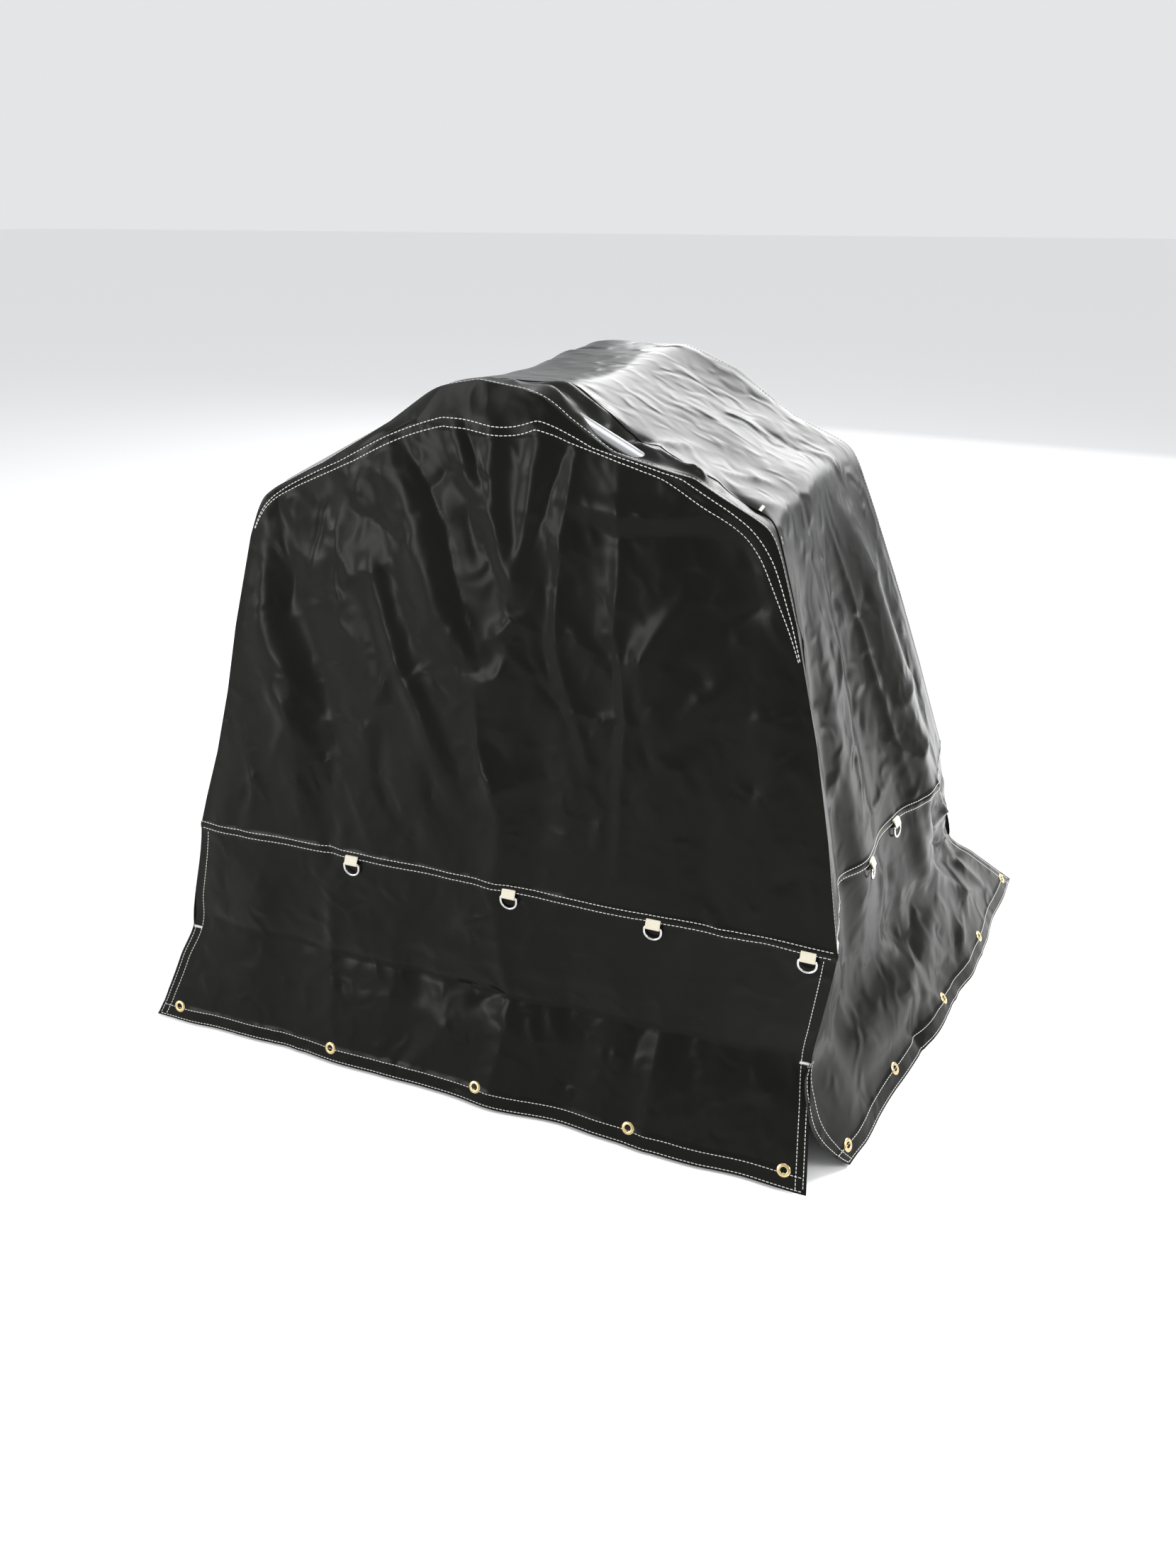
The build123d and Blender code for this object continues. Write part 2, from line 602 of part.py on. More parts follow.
# ------------------------------------------------------------------- gearbox
CASE_X, CASE_Y = GEARBOX[0] / 2, GEARBOX[1] / 2
CASE_BOTTOM, CASE_TOP = AXLE_Z - GEARBOX[2] / 2, AXLE_Z + GEARBOX[2] / 2
AXLE_HOLE = AXLE_RADIUS + 0.5
with BuildPart() as gearbox_lower:
    block(both(CASE_X), both(CASE_Y), (CASE_BOTTOM, AXLE_Z))
    block(both(CASE_X - CASE_WALL), both(CASE_Y - CASE_WALL), (CASE_BOTTOM + CASE_WALL, AXLE_Z),
          mode=Mode.SUBTRACT)
    rod(AXLE_HOLE, (-TUBE * 2, 0, AXLE_Z), (TUBE * 2, 0, AXLE_Z), Mode.SUBTRACT)
keep(gearbox_lower, "gearbox_lower")

BOSS_RADIUS = SHAFT_RADIUS + 8
BOSS_REACH = 10.0
with BuildPart() as gearbox_cover:
    block(both(CASE_X), both(CASE_Y), (AXLE_Z, CASE_TOP))
    block(both(CASE_X - CASE_WALL), both(CASE_Y - CASE_WALL), (AXLE_Z, CASE_TOP - CASE_WALL),
          mode=Mode.SUBTRACT)
    rod(BOSS_RADIUS, (0, 0, CASE_TOP - BOSS_REACH), (0, 0, CASE_TOP + BOSS_REACH))
    rod(SHAFT_RADIUS + RUNNING_FIT, (0, 0, CASE_TOP - 2 * BOSS_REACH),
        (0, 0, CASE_TOP + 2 * BOSS_REACH), Mode.SUBTRACT)
    rod(AXLE_HOLE, (-TUBE * 2, 0, AXLE_Z), (TUBE * 2, 0, AXLE_Z), Mode.SUBTRACT)
keep(gearbox_cover, "gearbox_cover")

# Straight bevel pair: both pitch cones meet where the two shafts cross
GEAR_PITCH = GEAR_MODULE * GEAR_TEETH / 2
PINION_PITCH = GEAR_MODULE * PINION_TEETH / 2
CONE = math.hypot(GEAR_PITCH, PINION_PITCH)
APEX = Vector(*at(0, 0, AXLE_Z))


def bevel(axis: Vector, across: Vector, pitch: float, other: float, teeth: int, phase: float,
          bore: float, hub: float) -> None:
    """Add one bevel wheel whose axis leaves the apex, with its teeth."""
    generator = (axis * other + across * pitch).normalized()
    normal = (across * other - axis * pitch).normalized()
    profile = Plane(APEX, x_dir=across, z_dir=across.cross(axis))
    outer = generator * CONE - normal * TOOTH_ROOT
    inner = generator * (CONE - TOOTH_FACE) - normal * TOOTH_ROOT
    with BuildSketch(profile) as half_section:
        with BuildLine():
            Polyline((bore, inner.dot(axis)), (inner.dot(across), inner.dot(axis)),
                     (outer.dot(across), outer.dot(axis)), (outer.dot(across) - 2, other + hub),
                     (bore, other + hub), close=True)
        make_face()
    revolve(half_section.sketch, axis=Axis(APEX, axis))
    height = TOOTH_ROOT + TOOTH_TIP + 0.5
    root = generator * (CONE - TOOTH_FACE) + normal * (TOOTH_TIP - height / 2)
    spin = Axis((0, 0, 0), axis)
    for index in range(teeth):
        turn = phase + index * 360 / teeth
        foot, out, along_tooth = (v.rotate(spin, turn) for v in (root, normal, generator))
        with BuildSketch(Plane(APEX + foot, x_dir=out, z_dir=along_tooth)) as tooth:
            Rectangle(height, TOOTH_WIDTH)
        extrude(tooth.sketch, amount=TOOTH_FACE)


with BuildPart() as bevel_gear:
    bevel(Vector(1, 0, 0), Vector(0, 0, 1), GEAR_PITCH, PINION_PITCH, GEAR_TEETH, 0.0,
          AXLE_RADIUS, 14)
keep(bevel_gear, "bevel_gear")

with BuildPart() as bevel_pinion:
    bevel(Vector(0, 0, 1), Vector(1, 0, 0), PINION_PITCH, GEAR_PITCH, PINION_TEETH,
          180 / PINION_TEETH, SHAFT_RADIUS, 10)
keep(bevel_pinion, "bevel_pinion")

# ------------------------------------------------------------------ impeller
AGITATOR_Z = SHAFT_TOP - 20
AGITATOR_HALF = 30.0
AGITATOR_RADIUS = 2.5
with BuildPart() as impeller_shaft:
    rod(SHAFT_RADIUS, (0, 0, AXLE_Z + AXLE_RADIUS + 3), (0, 0, SHAFT_TOP))
    rod(AGITATOR_RADIUS, (-TUBE, 0, AGITATOR_Z), (TUBE, 0, AGITATOR_Z), Mode.SUBTRACT)
keep(impeller_shaft, "impeller_shaft")

with BuildPart() as agitator_pin:
    rod(AGITATOR_RADIUS, (-AGITATOR_HALF, 0, AGITATOR_Z), (AGITATOR_HALF, 0, AGITATOR_Z))
keep(agitator_pin, "agitator_pin")

with BuildPart() as impeller_disc:
    rod(IMPELLER_RADIUS, (0, 0, IMPELLER_Z), (0, 0, IMPELLER_Z + IMPELLER_SHEET))
    rod(SHAFT_RADIUS + 9, (0, 0, IMPELLER_Z), (0, 0, IMPELLER_Z + FIN[2]))
    with BuildSketch(level(IMPELLER_Z)):
        with PolarLocations(SHAFT_RADIUS + 12 + FIN[0] / 2, FIN_COUNT):
            Rectangle(FIN[0], FIN[1])
    extrude(amount=IMPELLER_SHEET + FIN[2])
    rod(SHAFT_RADIUS, (0, 0, IMPELLER_Z - 1), (0, 0, IMPELLER_Z + 2 * FIN[2]), Mode.SUBTRACT)
keep(impeller_disc, "impeller_disc")

# -------------------------------------------------------------------- hopper
HOPPER_RISE = HOPPER_TOP_Z - HOPPER_Z


def funnel(shrink: float, bottom_z: float, mode: Mode = Mode.ADD) -> None:
    """Add the hopper's tapering body, made smaller all round by shrink."""
    share = (bottom_z - HOPPER_Z) / HOPPER_RISE
    low = [HOPPER_BOTTOM + (size - HOPPER_BOTTOM) * share - 2 * shrink for size in HOPPER_TOP]
    high = [size - 2 * shrink for size in HOPPER_TOP]
    with BuildSketch(level(bottom_z)) as bottom:
        Rectangle(*low)
    with BuildSketch(level(HOPPER_TOP_Z)) as top:
        Rectangle(*high)
    loft(sections=[bottom.sketch, top.sketch], ruled=True, mode=mode)


GATE_X = (OUTLET_X - GATE_PLATE[0] / 2, OUTLET_X + GATE_PLATE[0] / 2)
GUIDE_GAP = 1.0
GUIDE_WALL = 4.0
GUIDE_LIP = 5.0
GUIDE_Y = (-GATE_PLATE[1] / 2 - GATE_TRAVEL, GATE_PLATE[1] / 2)
with BuildPart() as hopper:
    funnel(0, HOPPER_Z)
    block(both(HOPPER_TOP[0] / 2 + HOPPER_FLANGE), both(HOPPER_TOP[1] / 2 + HOPPER_FLANGE),
          (HOPPER_TOP_Z - HOPPER_WALL, HOPPER_TOP_Z))
    funnel(HOPPER_WALL, HOPPER_Z + HOPPER_WALL, mode=Mode.SUBTRACT)
    block((OUTLET_X - OUTLET / 2, OUTLET_X + OUTLET / 2), both(OUTLET / 2),
          (HOPPER_Z - 1, HOPPER_Z + HOPPER_WALL + 1), mode=Mode.SUBTRACT)
    rod(SHAFT_RADIUS + 3, (0, 0, HOPPER_Z - 1), (0, 0, HOPPER_Z + HOPPER_WALL + 1), Mode.SUBTRACT)
    lip_z = GATE_Z - GUIDE_GAP - 2
    for edge_x, side in ((GATE_X[0] - GUIDE_GAP, -1), (GATE_X[1] + GUIDE_GAP, 1)):
        block(tuple(sorted((edge_x, edge_x + side * GUIDE_WALL))), GUIDE_Y, (lip_z, HOPPER_Z))
        block(tuple(sorted((edge_x + side * GUIDE_WALL, edge_x - side * GUIDE_LIP))), GUIDE_Y,
              (lip_z, GATE_Z - GUIDE_GAP))
keep(hopper, "hopper")

cradle_share = (CRADLE_Z + TUBE - HOPPER_Z) / HOPPER_RISE
CRADLE_HALF = [
    (HOPPER_BOTTOM + (size - HOPPER_BOTTOM) * cradle_share) / 2 + CRADLE_BAR * 0.7
    for size in HOPPER_TOP
]
with BuildPart() as cradle_ring:
    block(both(CRADLE_HALF[0]), both(CRADLE_HALF[1]), (CRADLE_Z, CRADLE_Z + CRADLE_BAR))
    funnel(0, HOPPER_Z, mode=Mode.SUBTRACT)
keep(cradle_ring, "cradle_ring")

with BuildPart() as hopper_posts:
    for x in (-RAIL_X, RAIL_X):
        for y in (-POST_Y, POST_Y):
            block((x - POST / 2, x + POST / 2), (y - POST / 2, y + POST / 2), (RAIL_TOP, CRADLE_Z))
keep(hopper_posts, "hopper_posts")

WING_X = RAIL_X - POST / 2
with BuildPart() as deflector:
    block(both(WING_X), (-POST_Y - POST / 2, DEFLECTOR_REACH), DEFLECTOR_Z)
    block(both(WING_X - TUBE_WALL), (-RAIL_HALF, DEFLECTOR_REACH - TUBE_WALL), DEFLECTOR_Z,
          mode=Mode.SUBTRACT)
keep(deflector, "deflector")

# ------------------------------------------------------------ gate and lever
ROD_Z = LEVER_PIVOT_Z + LEVER_ARM
LEVER_X = (OUTLET_X - LEVER_BAR[0] / 2, OUTLET_X + LEVER_BAR[0] / 2)
SLOT_SLACK = 3.0
with BuildPart() as gate_plate:
    block(GATE_X, both(GATE_PLATE[1] / 2), (GATE_Z, GATE_Z + GATE_PLATE[2]))
keep(gate_plate, "gate_plate")

ROD_END = LEVER_Y - LEVER_BAR[1] / 2 - 8
with BuildPart() as gate_rod:
    side_x = LEVER_X[1] + 2 * ROD_RADIUS
    rod(ROD_RADIUS - 1, (OUTLET_X, GATE_PLATE[1] / 2, GATE_Z + GATE_PLATE[2] / 2),
        (OUTLET_X, ROD_END, GATE_Z + GATE_PLATE[2] / 2))
    block((OUTLET_X - ROD_RADIUS, side_x), (ROD_END - 2 * ROD_RADIUS, ROD_END),
          (ROD_Z - ROD_RADIUS, ROD_Z + ROD_RADIUS))
    block((LEVER_X[1] + 2, side_x), (ROD_END - ROD_RADIUS, LEVER_Y + ROD_RADIUS),
          (ROD_Z - ROD_RADIUS, ROD_Z + ROD_RADIUS))
    rod(ROD_RADIUS - 1, (LEVER_X[0] - 2, LEVER_Y, ROD_Z), (side_x, LEVER_Y, ROD_Z))
keep(gate_rod, "gate_rod")

with BuildPart() as flow_lever:
    block(LEVER_X, (LEVER_Y - LEVER_BAR[1] / 2, LEVER_Y + LEVER_BAR[1] / 2),
          (LEVER_PIVOT_Z, LEVER_TOP_Z))
    rod(LEVER_BAR[1] / 2, (LEVER_X[0], LEVER_Y, LEVER_PIVOT_Z), (LEVER_X[1], LEVER_Y, LEVER_PIVOT_Z))
    rod(PIN_RADIUS + RUNNING_FIT, (0, LEVER_Y, LEVER_PIVOT_Z), (TUBE * 3, LEVER_Y, LEVER_PIVOT_Z),
        Mode.SUBTRACT)
    slot_reach = math.hypot(LEVER_ARM, GATE_TRAVEL) - LEVER_ARM
    with BuildSketch(upright(LEVER_X[0] - 1)):
        with Locations((LEVER_Y, ROD_Z + slot_reach / 2)):
            SlotOverall(slot_reach + 2 * (ROD_RADIUS + SLOT_SLACK), 2 * (ROD_RADIUS + SLOT_SLACK) - 2,
                        rotation=90)
    extrude(amount=LEVER_BAR[0] + 2, mode=Mode.SUBTRACT)
keep(flow_lever, "flow_lever")

with BuildPart() as lever_grip:
    grip = (LEVER_TOP_Z - 90, LEVER_TOP_Z + 10)
    block((LEVER_X[0] - 7, LEVER_X[1] + 7), (LEVER_Y - 20, LEVER_Y + 20), grip)
    fillet(lever_grip.edges().filter_by(Axis.Z), radius=8)
    block(LEVER_X, (LEVER_Y - LEVER_BAR[1] / 2, LEVER_Y + LEVER_BAR[1] / 2),
          (LEVER_PIVOT_Z, LEVER_TOP_Z), mode=Mode.SUBTRACT)
keep(lever_grip, "lever_grip")

BRACKET_GAP = 2.0
BRACKET_EAR = 4.0
BRACKET_Y = (LEVER_Y - LEVER_BAR[1], LEVER_Y + LEVER_BAR[1])
with BuildPart() as lever_bracket:
    outer_x = LEVER_X[1] + BRACKET_GAP + BRACKET_EAR
    block((-TONGUE_TUBE / 2, outer_x), BRACKET_Y,
          (TONGUE_Z_LIMITS[1], TONGUE_Z_LIMITS[1] + EAR))
    for near in (LEVER_X[0] - BRACKET_GAP - BRACKET_EAR, LEVER_X[1] + BRACKET_GAP):
        block((near, near + BRACKET_EAR), (LEVER_Y - LEVER_BAR[1] / 2, LEVER_Y + LEVER_BAR[1] / 2),
              (TONGUE_Z_LIMITS[1], LEVER_PIVOT_Z + LEVER_BAR[1] / 2))
    pin_ends = [(x, LEVER_Y, LEVER_PIVOT_Z) for x in (LEVER_X[0] - 10, LEVER_X[1] + 10)]
    rod(PIN_RADIUS + RUNNING_FIT, *pin_ends, Mode.SUBTRACT)
    rod(PIN_RADIUS, *pin_ends)
keep(lever_bracket, "lever_bracket")

# ---------------------------------------------------------------- cover bows
BOW_PLANE = Plane(at(0, 0, SEAM_Z), x_dir=(1, 0, 0), z_dir=(0, -1, 0))
BOW_BENDS = inset(gambrel(SEAM_RIGHT[0][0], BOW_PLANE), BOW_INSET, (-1, 0), (1, 0))[1:-1]
BOW_FOOT_X = BOW_BENDS[0][0]
BOW_FOOT_RISE = HOPPER_TOP_Z - SEAM_Z
for name, y in (("cover_bow_front", -BOW_Y), ("cover_bow_rear", BOW_Y)):
    plane = BOW_PLANE.offset(-y)
    with BuildPart() as bow:
        with BuildLine(plane):
            FilletPolyline((BOW_FOOT_X, BOW_FOOT_RISE), *BOW_BENDS, (-BOW_FOOT_X, BOW_FOOT_RISE),
                           radius=BOW_BEND)
        with BuildSketch(Plane(at(BOW_FOOT_X, y, HOPPER_TOP_Z), z_dir=(0, 0, 1))):
            Circle(BOW_RADIUS)
        sweep()
    keep(bow, name)

RIDGE_X = 55.0
with BuildPart() as spreader_bars:
    reach = BOW_Y - BOW_RADIUS + 2
    ridge_z = SEAM_Z + BOW_BENDS[1][1]
    shoulder_x, shoulder_y = BOW_BENDS[0]
    for x, z in ((RIDGE_X, ridge_z), (shoulder_x - 3, SEAM_Z + shoulder_y - 3)):
        for side in (-1, 1):
            rod(SPREADER_BAR_RADIUS, (side * x, -reach, z), (side * x, reach, z))
keep(spreader_bars, "spreader_bars")
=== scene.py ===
"""The looks of a tow-behind spreader standing under its fitted vinyl cover.

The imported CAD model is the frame. The soft cover, its thread, tabs, grommets and
bar tacks are modelled here from the frame's own places; the machine under the
cover and the D-rings are the CAD nodes themselves, given their finishes.
"""

import json
import logging
import math
import random
from collections.abc import Sequence
from dataclasses import dataclass
from enum import Enum

import bpy
import numpy as np
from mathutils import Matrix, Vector


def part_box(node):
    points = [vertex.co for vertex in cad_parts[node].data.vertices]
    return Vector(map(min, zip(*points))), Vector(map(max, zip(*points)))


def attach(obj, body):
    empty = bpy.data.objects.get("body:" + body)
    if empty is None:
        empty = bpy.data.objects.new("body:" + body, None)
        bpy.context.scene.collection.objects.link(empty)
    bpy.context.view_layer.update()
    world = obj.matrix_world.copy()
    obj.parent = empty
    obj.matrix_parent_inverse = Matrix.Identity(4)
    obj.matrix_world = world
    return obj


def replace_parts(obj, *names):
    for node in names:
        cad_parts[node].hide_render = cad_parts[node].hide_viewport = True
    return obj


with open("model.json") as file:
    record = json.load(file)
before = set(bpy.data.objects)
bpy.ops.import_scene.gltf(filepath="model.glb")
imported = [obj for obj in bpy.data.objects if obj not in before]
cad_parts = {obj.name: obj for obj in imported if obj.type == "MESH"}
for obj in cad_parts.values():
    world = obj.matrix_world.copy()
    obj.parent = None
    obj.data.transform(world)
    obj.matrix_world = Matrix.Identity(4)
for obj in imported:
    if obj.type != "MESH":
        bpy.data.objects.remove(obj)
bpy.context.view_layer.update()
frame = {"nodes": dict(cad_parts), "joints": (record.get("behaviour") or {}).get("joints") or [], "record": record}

logging.basicConfig(level=logging.INFO, format="%(message)s")
log = logging.getLogger("cover")

Points = np.ndarray

PAIR_HALF = 0.0009             # half the width of a step in the cloth, in metres
PAIR_CLEAR = 0.0022            # how far other grid lines keep from it


# ------------------------------------------------------------------ options
class FoldKind(Enum):
    """How the cloth stands across a fold."""

    RIDGE = "ridge"      # soft and rounded
    CREASE = "crease"    # sharp along its middle


class Held(Enum):
    """The two ways in which the cover's pieces are held."""

    DRAPED = "draped"
    HUNG = "hung"


class Side(Enum):
    """The four sides of the cover."""

    FRONT = "front"
    REAR = "rear"
    LEFT = "left"
    RIGHT = "right"


# -------------------------------------------------------------------- sizes
@dataclass
class ClothSizes:
    """Sizes of the sewn cover, in metres."""

    thickness: float = 0.0012
    step: float = 0.0072           # spacing of the grid
    hem_depth: float = 0.028
    hem_rise: float = 0.0012
    seam_half: float = 0.007       # half height of the raised seam that carries the rings
    seam_rise: float = 0.0011
    border: float = 0.028          # turned edge inside the roof's end
    border_rise: float = 0.0011
    edge_radius: float = 0.016     # softening of the bends along the roof
    corner_fade: float = 0.05
    ring_fade: float = 0.032
    slot_half: float = 0.04
    slot_top: float = 0.30


@dataclass
class StitchSizes:
    """Sizes of one stitch and the row it is in, in metres."""

    length: float = 0.0048
    pitch: float = 0.0066
    radius: float = 0.0006
    sunk: float = 0.0001


@dataclass
class TabSizes:
    """Sizes of a webbing tab round a D-ring's bar, in metres."""

    width: float = 0.0236
    sheet: float = 0.0016
    rise: float = 0.0125
    bar_radius: float = 0.0021
    stand: float = 0.0062          # from the bar back to the cloth
    foot: float = 0.0045           # where the loop comes back, below the bar


@dataclass
class GrommetSizes:
    """Sizes of a pressed grommet, in metres."""

    outer: float = 0.0115
    crown: float = 0.0019
    bore: float = 0.0054
    sides: int = 28


@dataclass
class CameraPose:
    """Where the camera stands, in metres and degrees."""

    place: tuple = (0.7295, -2.1877, 1.423)
    tilt: float = 63.0
    turn: float = 21.0
    lens: float = 26.17


# ------------------------------------------------------------------ finishes
@dataclass(frozen=True)
class Finish:
    """A procedural surface.

    Args:
        colour: base colour, linear.
        roughness: from 0 to 1.
        metallic: from 0 to 1.
        specular: dielectric reflectance level.
        grain: strength of the fine bump.
        grain_size: size of the bump's cells, in metres.
        second: second colour mixed in by a soft noise, or None.
        mottle: size of that noise, in metres.
        coat: strength of a clear coat.
        crinkle: depth of the creased relief of a stiff coated cloth, in metres.
        crinkle_size: size of that relief's cells, in metres.
    """

    colour: tuple
    roughness: float
    metallic: float = 0.0
    specular: float = 0.5
    grain: float = 0.0
    grain_size: float = 0.002
    second: tuple | None = None
    mottle: float = 0.05
    coat: float = 0.0
    crinkle: float = 0.0
    crinkle_size: float = 0.05


FINISHES = {
    "cover_vinyl": Finish((0.0034, 0.0036, 0.0029), 0.27, specular=0.085, grain=0.12, grain_size=0.0016,
                          second=(0.0060, 0.0062, 0.0048), mottle=0.09,
                          crinkle=0.0036, crinkle_size=0.05),
    "tab_webbing": Finish((0.50, 0.46, 0.36), 0.8, grain=0.5, grain_size=0.0011,
                          second=(0.60, 0.56, 0.45), mottle=0.006),
    "white_thread": Finish((0.62, 0.61, 0.58), 0.75, grain=0.2, grain_size=0.0008),
    "grommet_brass": Finish((0.66, 0.53, 0.28), 0.24, metallic=1.0, second=(0.55, 0.42, 0.20), mottle=0.01),
    "ring_zinc": Finish((0.62, 0.62, 0.60), 0.25, metallic=1.0, second=(0.50, 0.50, 0.49), mottle=0.01),
    "frame_paint": Finish((0.016, 0.016, 0.017), 0.38, coat=0.3, grain=0.15, grain_size=0.003),
    "cast_housing": Finish((0.34, 0.35, 0.36), 0.55, metallic=0.9, grain=0.5, grain_size=0.0025),
    "bright_steel": Finish((0.56, 0.56, 0.57), 0.28, metallic=1.0, second=(0.45, 0.45, 0.46), mottle=0.02),
    "rim_paint": Finish((0.60, 0.60, 0.58), 0.35, coat=0.3),
    "tyre_rubber": Finish((0.014, 0.014, 0.014), 0.78, grain=0.5, grain_size=0.004),
    "hopper_plastic": Finish((0.06, 0.065, 0.07), 0.48, grain=0.3, grain_size=0.0025,
                             second=(0.075, 0.08, 0.085), mottle=0.12),
    "grip_rubber": Finish((0.02, 0.02, 0.02), 0.7, grain=0.4, grain_size=0.002),
    "bow_tube": Finish((0.50, 0.51, 0.52), 0.35, metallic=1.0, second=(0.42, 0.43, 0.44), mottle=0.03),
}


class Paint:
    """Makes each finish into one material, and puts it on pieces."""

    def __init__(self) -> None:
        self.made: dict[str, bpy.types.Material] = {}

    def material(self, name: str) -> bpy.types.Material:
        """The material of a finish.

        Args:
            name: the record's material slot.

        Returns:
            The material, made on first use.
        """
        if name not in self.made:
            self.made[name] = self._build(name, FINISHES[name])
        return self.made[name]

    def put(self, obj: bpy.types.Object, name: str) -> bpy.types.Object:
        """Gives a piece its one material.

        Args:
            obj: the piece.
            name: the record's material slot.

        Returns:
            The same piece.
        """
        obj.data.materials.clear()
        obj.data.materials.append(self.material(name))
        return obj

    def _build(self, name: str, finish: Finish) -> bpy.types.Material:
        """Builds the node tree of one finish."""
        material = bpy.data.materials.new(name)
        material.use_nodes = True
        tree = material.node_tree
        shader = tree.nodes["Principled BSDF"]
        shader.inputs["Base Color"].default_value = (*finish.colour, 1)
        shader.inputs["Roughness"].default_value = finish.roughness
        shader.inputs["Metallic"].default_value = finish.metallic
        shader.inputs["Specular IOR Level"].default_value = finish.specular
        shader.inputs["Coat Weight"].default_value = finish.coat
        place = tree.nodes.new("ShaderNodeTexCoord")
        if finish.second:
            noise = self._noise(tree, place, 1 / finish.mottle, 3.0)
            mix = tree.nodes.new("ShaderNodeMix")
            mix.data_type = "RGBA"
            mix.inputs["A"].default_value = (*finish.colour, 1)
            mix.inputs["B"].default_value = (*finish.second, 1)
            tree.links.new(noise.outputs["Fac"], mix.inputs["Factor"])
            tree.links.new(mix.outputs["Result"], shader.inputs["Base Color"])
        relief = []
        if finish.crinkle:
            noise = self._noise(tree, place, 1 / finish.crinkle_size, 3.0)
            noise.noise_type = "RIDGED_MULTIFRACTAL"
            noise.inputs["Distortion"].default_value = 0.5
            relief.append((noise, 1.0, finish.crinkle))
        if finish.grain:
            noise = self._noise(tree, place, 1 / finish.grain_size, 2.0)
            relief.append((noise, finish.grain, finish.grain_size / 4))
        normal = None
        for noise, strength, distance in relief:
            bump = tree.nodes.new("ShaderNodeBump")
            bump.inputs["Strength"].default_value = strength
            bump.inputs["Distance"].default_value = distance
            tree.links.new(noise.outputs["Fac"], bump.inputs["Height"])
            if normal:
                tree.links.new(normal, bump.inputs["Normal"])
            normal = bump.outputs["Normal"]
        if normal:
            tree.links.new(normal, shader.inputs["Normal"])
        log.info("finish %s", name)
        return material

    @staticmethod
    def _noise(tree: bpy.types.NodeTree, place: bpy.types.Node, scale: float,
               detail: float) -> bpy.types.Node:
        """Adds a noise texture in the piece's own coordinates."""
        noise = tree.nodes.new("ShaderNodeTexNoise")
        noise.inputs["Scale"].default_value = scale
        noise.inputs["Detail"].default_value = detail
        tree.links.new(place.outputs["Object"], noise.inputs["Vector"])
        return noise


# ------------------------------------------------------------- small helpers
def smooth(value: np.ndarray) -> np.ndarray:
    """A soft 0 to 1 ramp of a value that runs from 0 to 1."""
    t = np.clip(value, 0, 1)
    return t * t * (3 - 2 * t)


def blur(points: Points, spread: float, axis: int) -> Points:
    """Softens points along one axis of a grid and leaves both ends where they are.

    Args:
        points: grid of points.
        spread: standard deviation in grid steps.
        axis: 0 along the rows, 1 along the columns.

    Returns:
        The softened grid.
    """
    reach = int(math.ceil(3 * spread))
    weights = np.exp(-0.5 * (np.arange(-reach, reach + 1) / spread) ** 2)
    weights /= weights.sum()
    moved = np.moveaxis(points, axis, 0)
    head = 2 * moved[:1] - moved[reach:0:-1]
    tail = 2 * moved[-1:] - moved[-2:-reach - 2:-1]
    padded = np.concatenate([head, moved, tail])
    out = sum(w * padded[i:i + len(moved)] for i, w in enumerate(weights))
    return np.moveaxis(out, 0, axis)


def unit(vectors: np.ndarray) -> np.ndarray:
    """The vectors, each one metre long."""
    return vectors / np.maximum(np.linalg.norm(vectors, axis=-1, keepdims=True), 1e-9)


def steps(length: float, step: float) -> np.ndarray:
    """Even shares from 0 to 1 with about one step between them."""
    return np.linspace(0, 1, max(2, int(round(length / step))) + 1)


def node_points(node: str) -> Points:
    """The vertices of a CAD node, in the row frame."""
    mesh = frame["nodes"][node].data
    co = np.zeros(len(mesh.vertices) * 3, np.float32)
    mesh.vertices.foreach_get("co", co)
    return np.unique(np.round(co.reshape(-1, 3).astype(float), 5), axis=0)


def clusters(points: Points, reach: float) -> list[Points]:
    """Groups points that lie within reach of each group's first point."""
    left, found = points, []
    while len(left):
        near = np.linalg.norm(left - left[0], axis=1) < reach
        found.append(left[near])
        left = left[~near]
    return found


def make_mesh(name: str, points: Points, faces: Sequence, sharp: float = 45.0) -> bpy.types.Object:
    """Makes a smooth-shaded mesh piece.

    Args:
        name: the piece's name.
        points: vertices in the row frame.
        faces: vertex indices of each face.
        sharp: edges bent by more than this many degrees stay sharp.

    Returns:
        The new object, linked to the scene.
    """
    mesh = bpy.data.meshes.new(name)
    mesh.from_pydata(points.tolist(), [], [tuple(int(i) for i in f) for f in faces])
    mesh.update()
    mesh.shade_smooth()
    mesh.set_sharp_from_angle(angle=math.radians(sharp))
    obj = bpy.data.objects.new(name, mesh)
    bpy.context.scene.collection.objects.link(obj)
    log.info("piece %s: %d vertices", name, len(points))
    return obj


def tube_faces(rings: int, sides: int, first: int = 0) -> list[tuple]:
    """Faces of a tube whose points are laid out ring by ring.

    Args:
        rings: how many rings of points.
        sides: points in each ring.
        first: index of the first point.

    Returns:
        The vertex indices of each face.
    """
    return [
        tuple(first + ring * sides + point % sides
              for ring, point in ((k, i), (k, i + 1), (k + 1, i + 1), (k + 1, i)))
        for k in range(rings - 1) for i in range(sides)
    ]


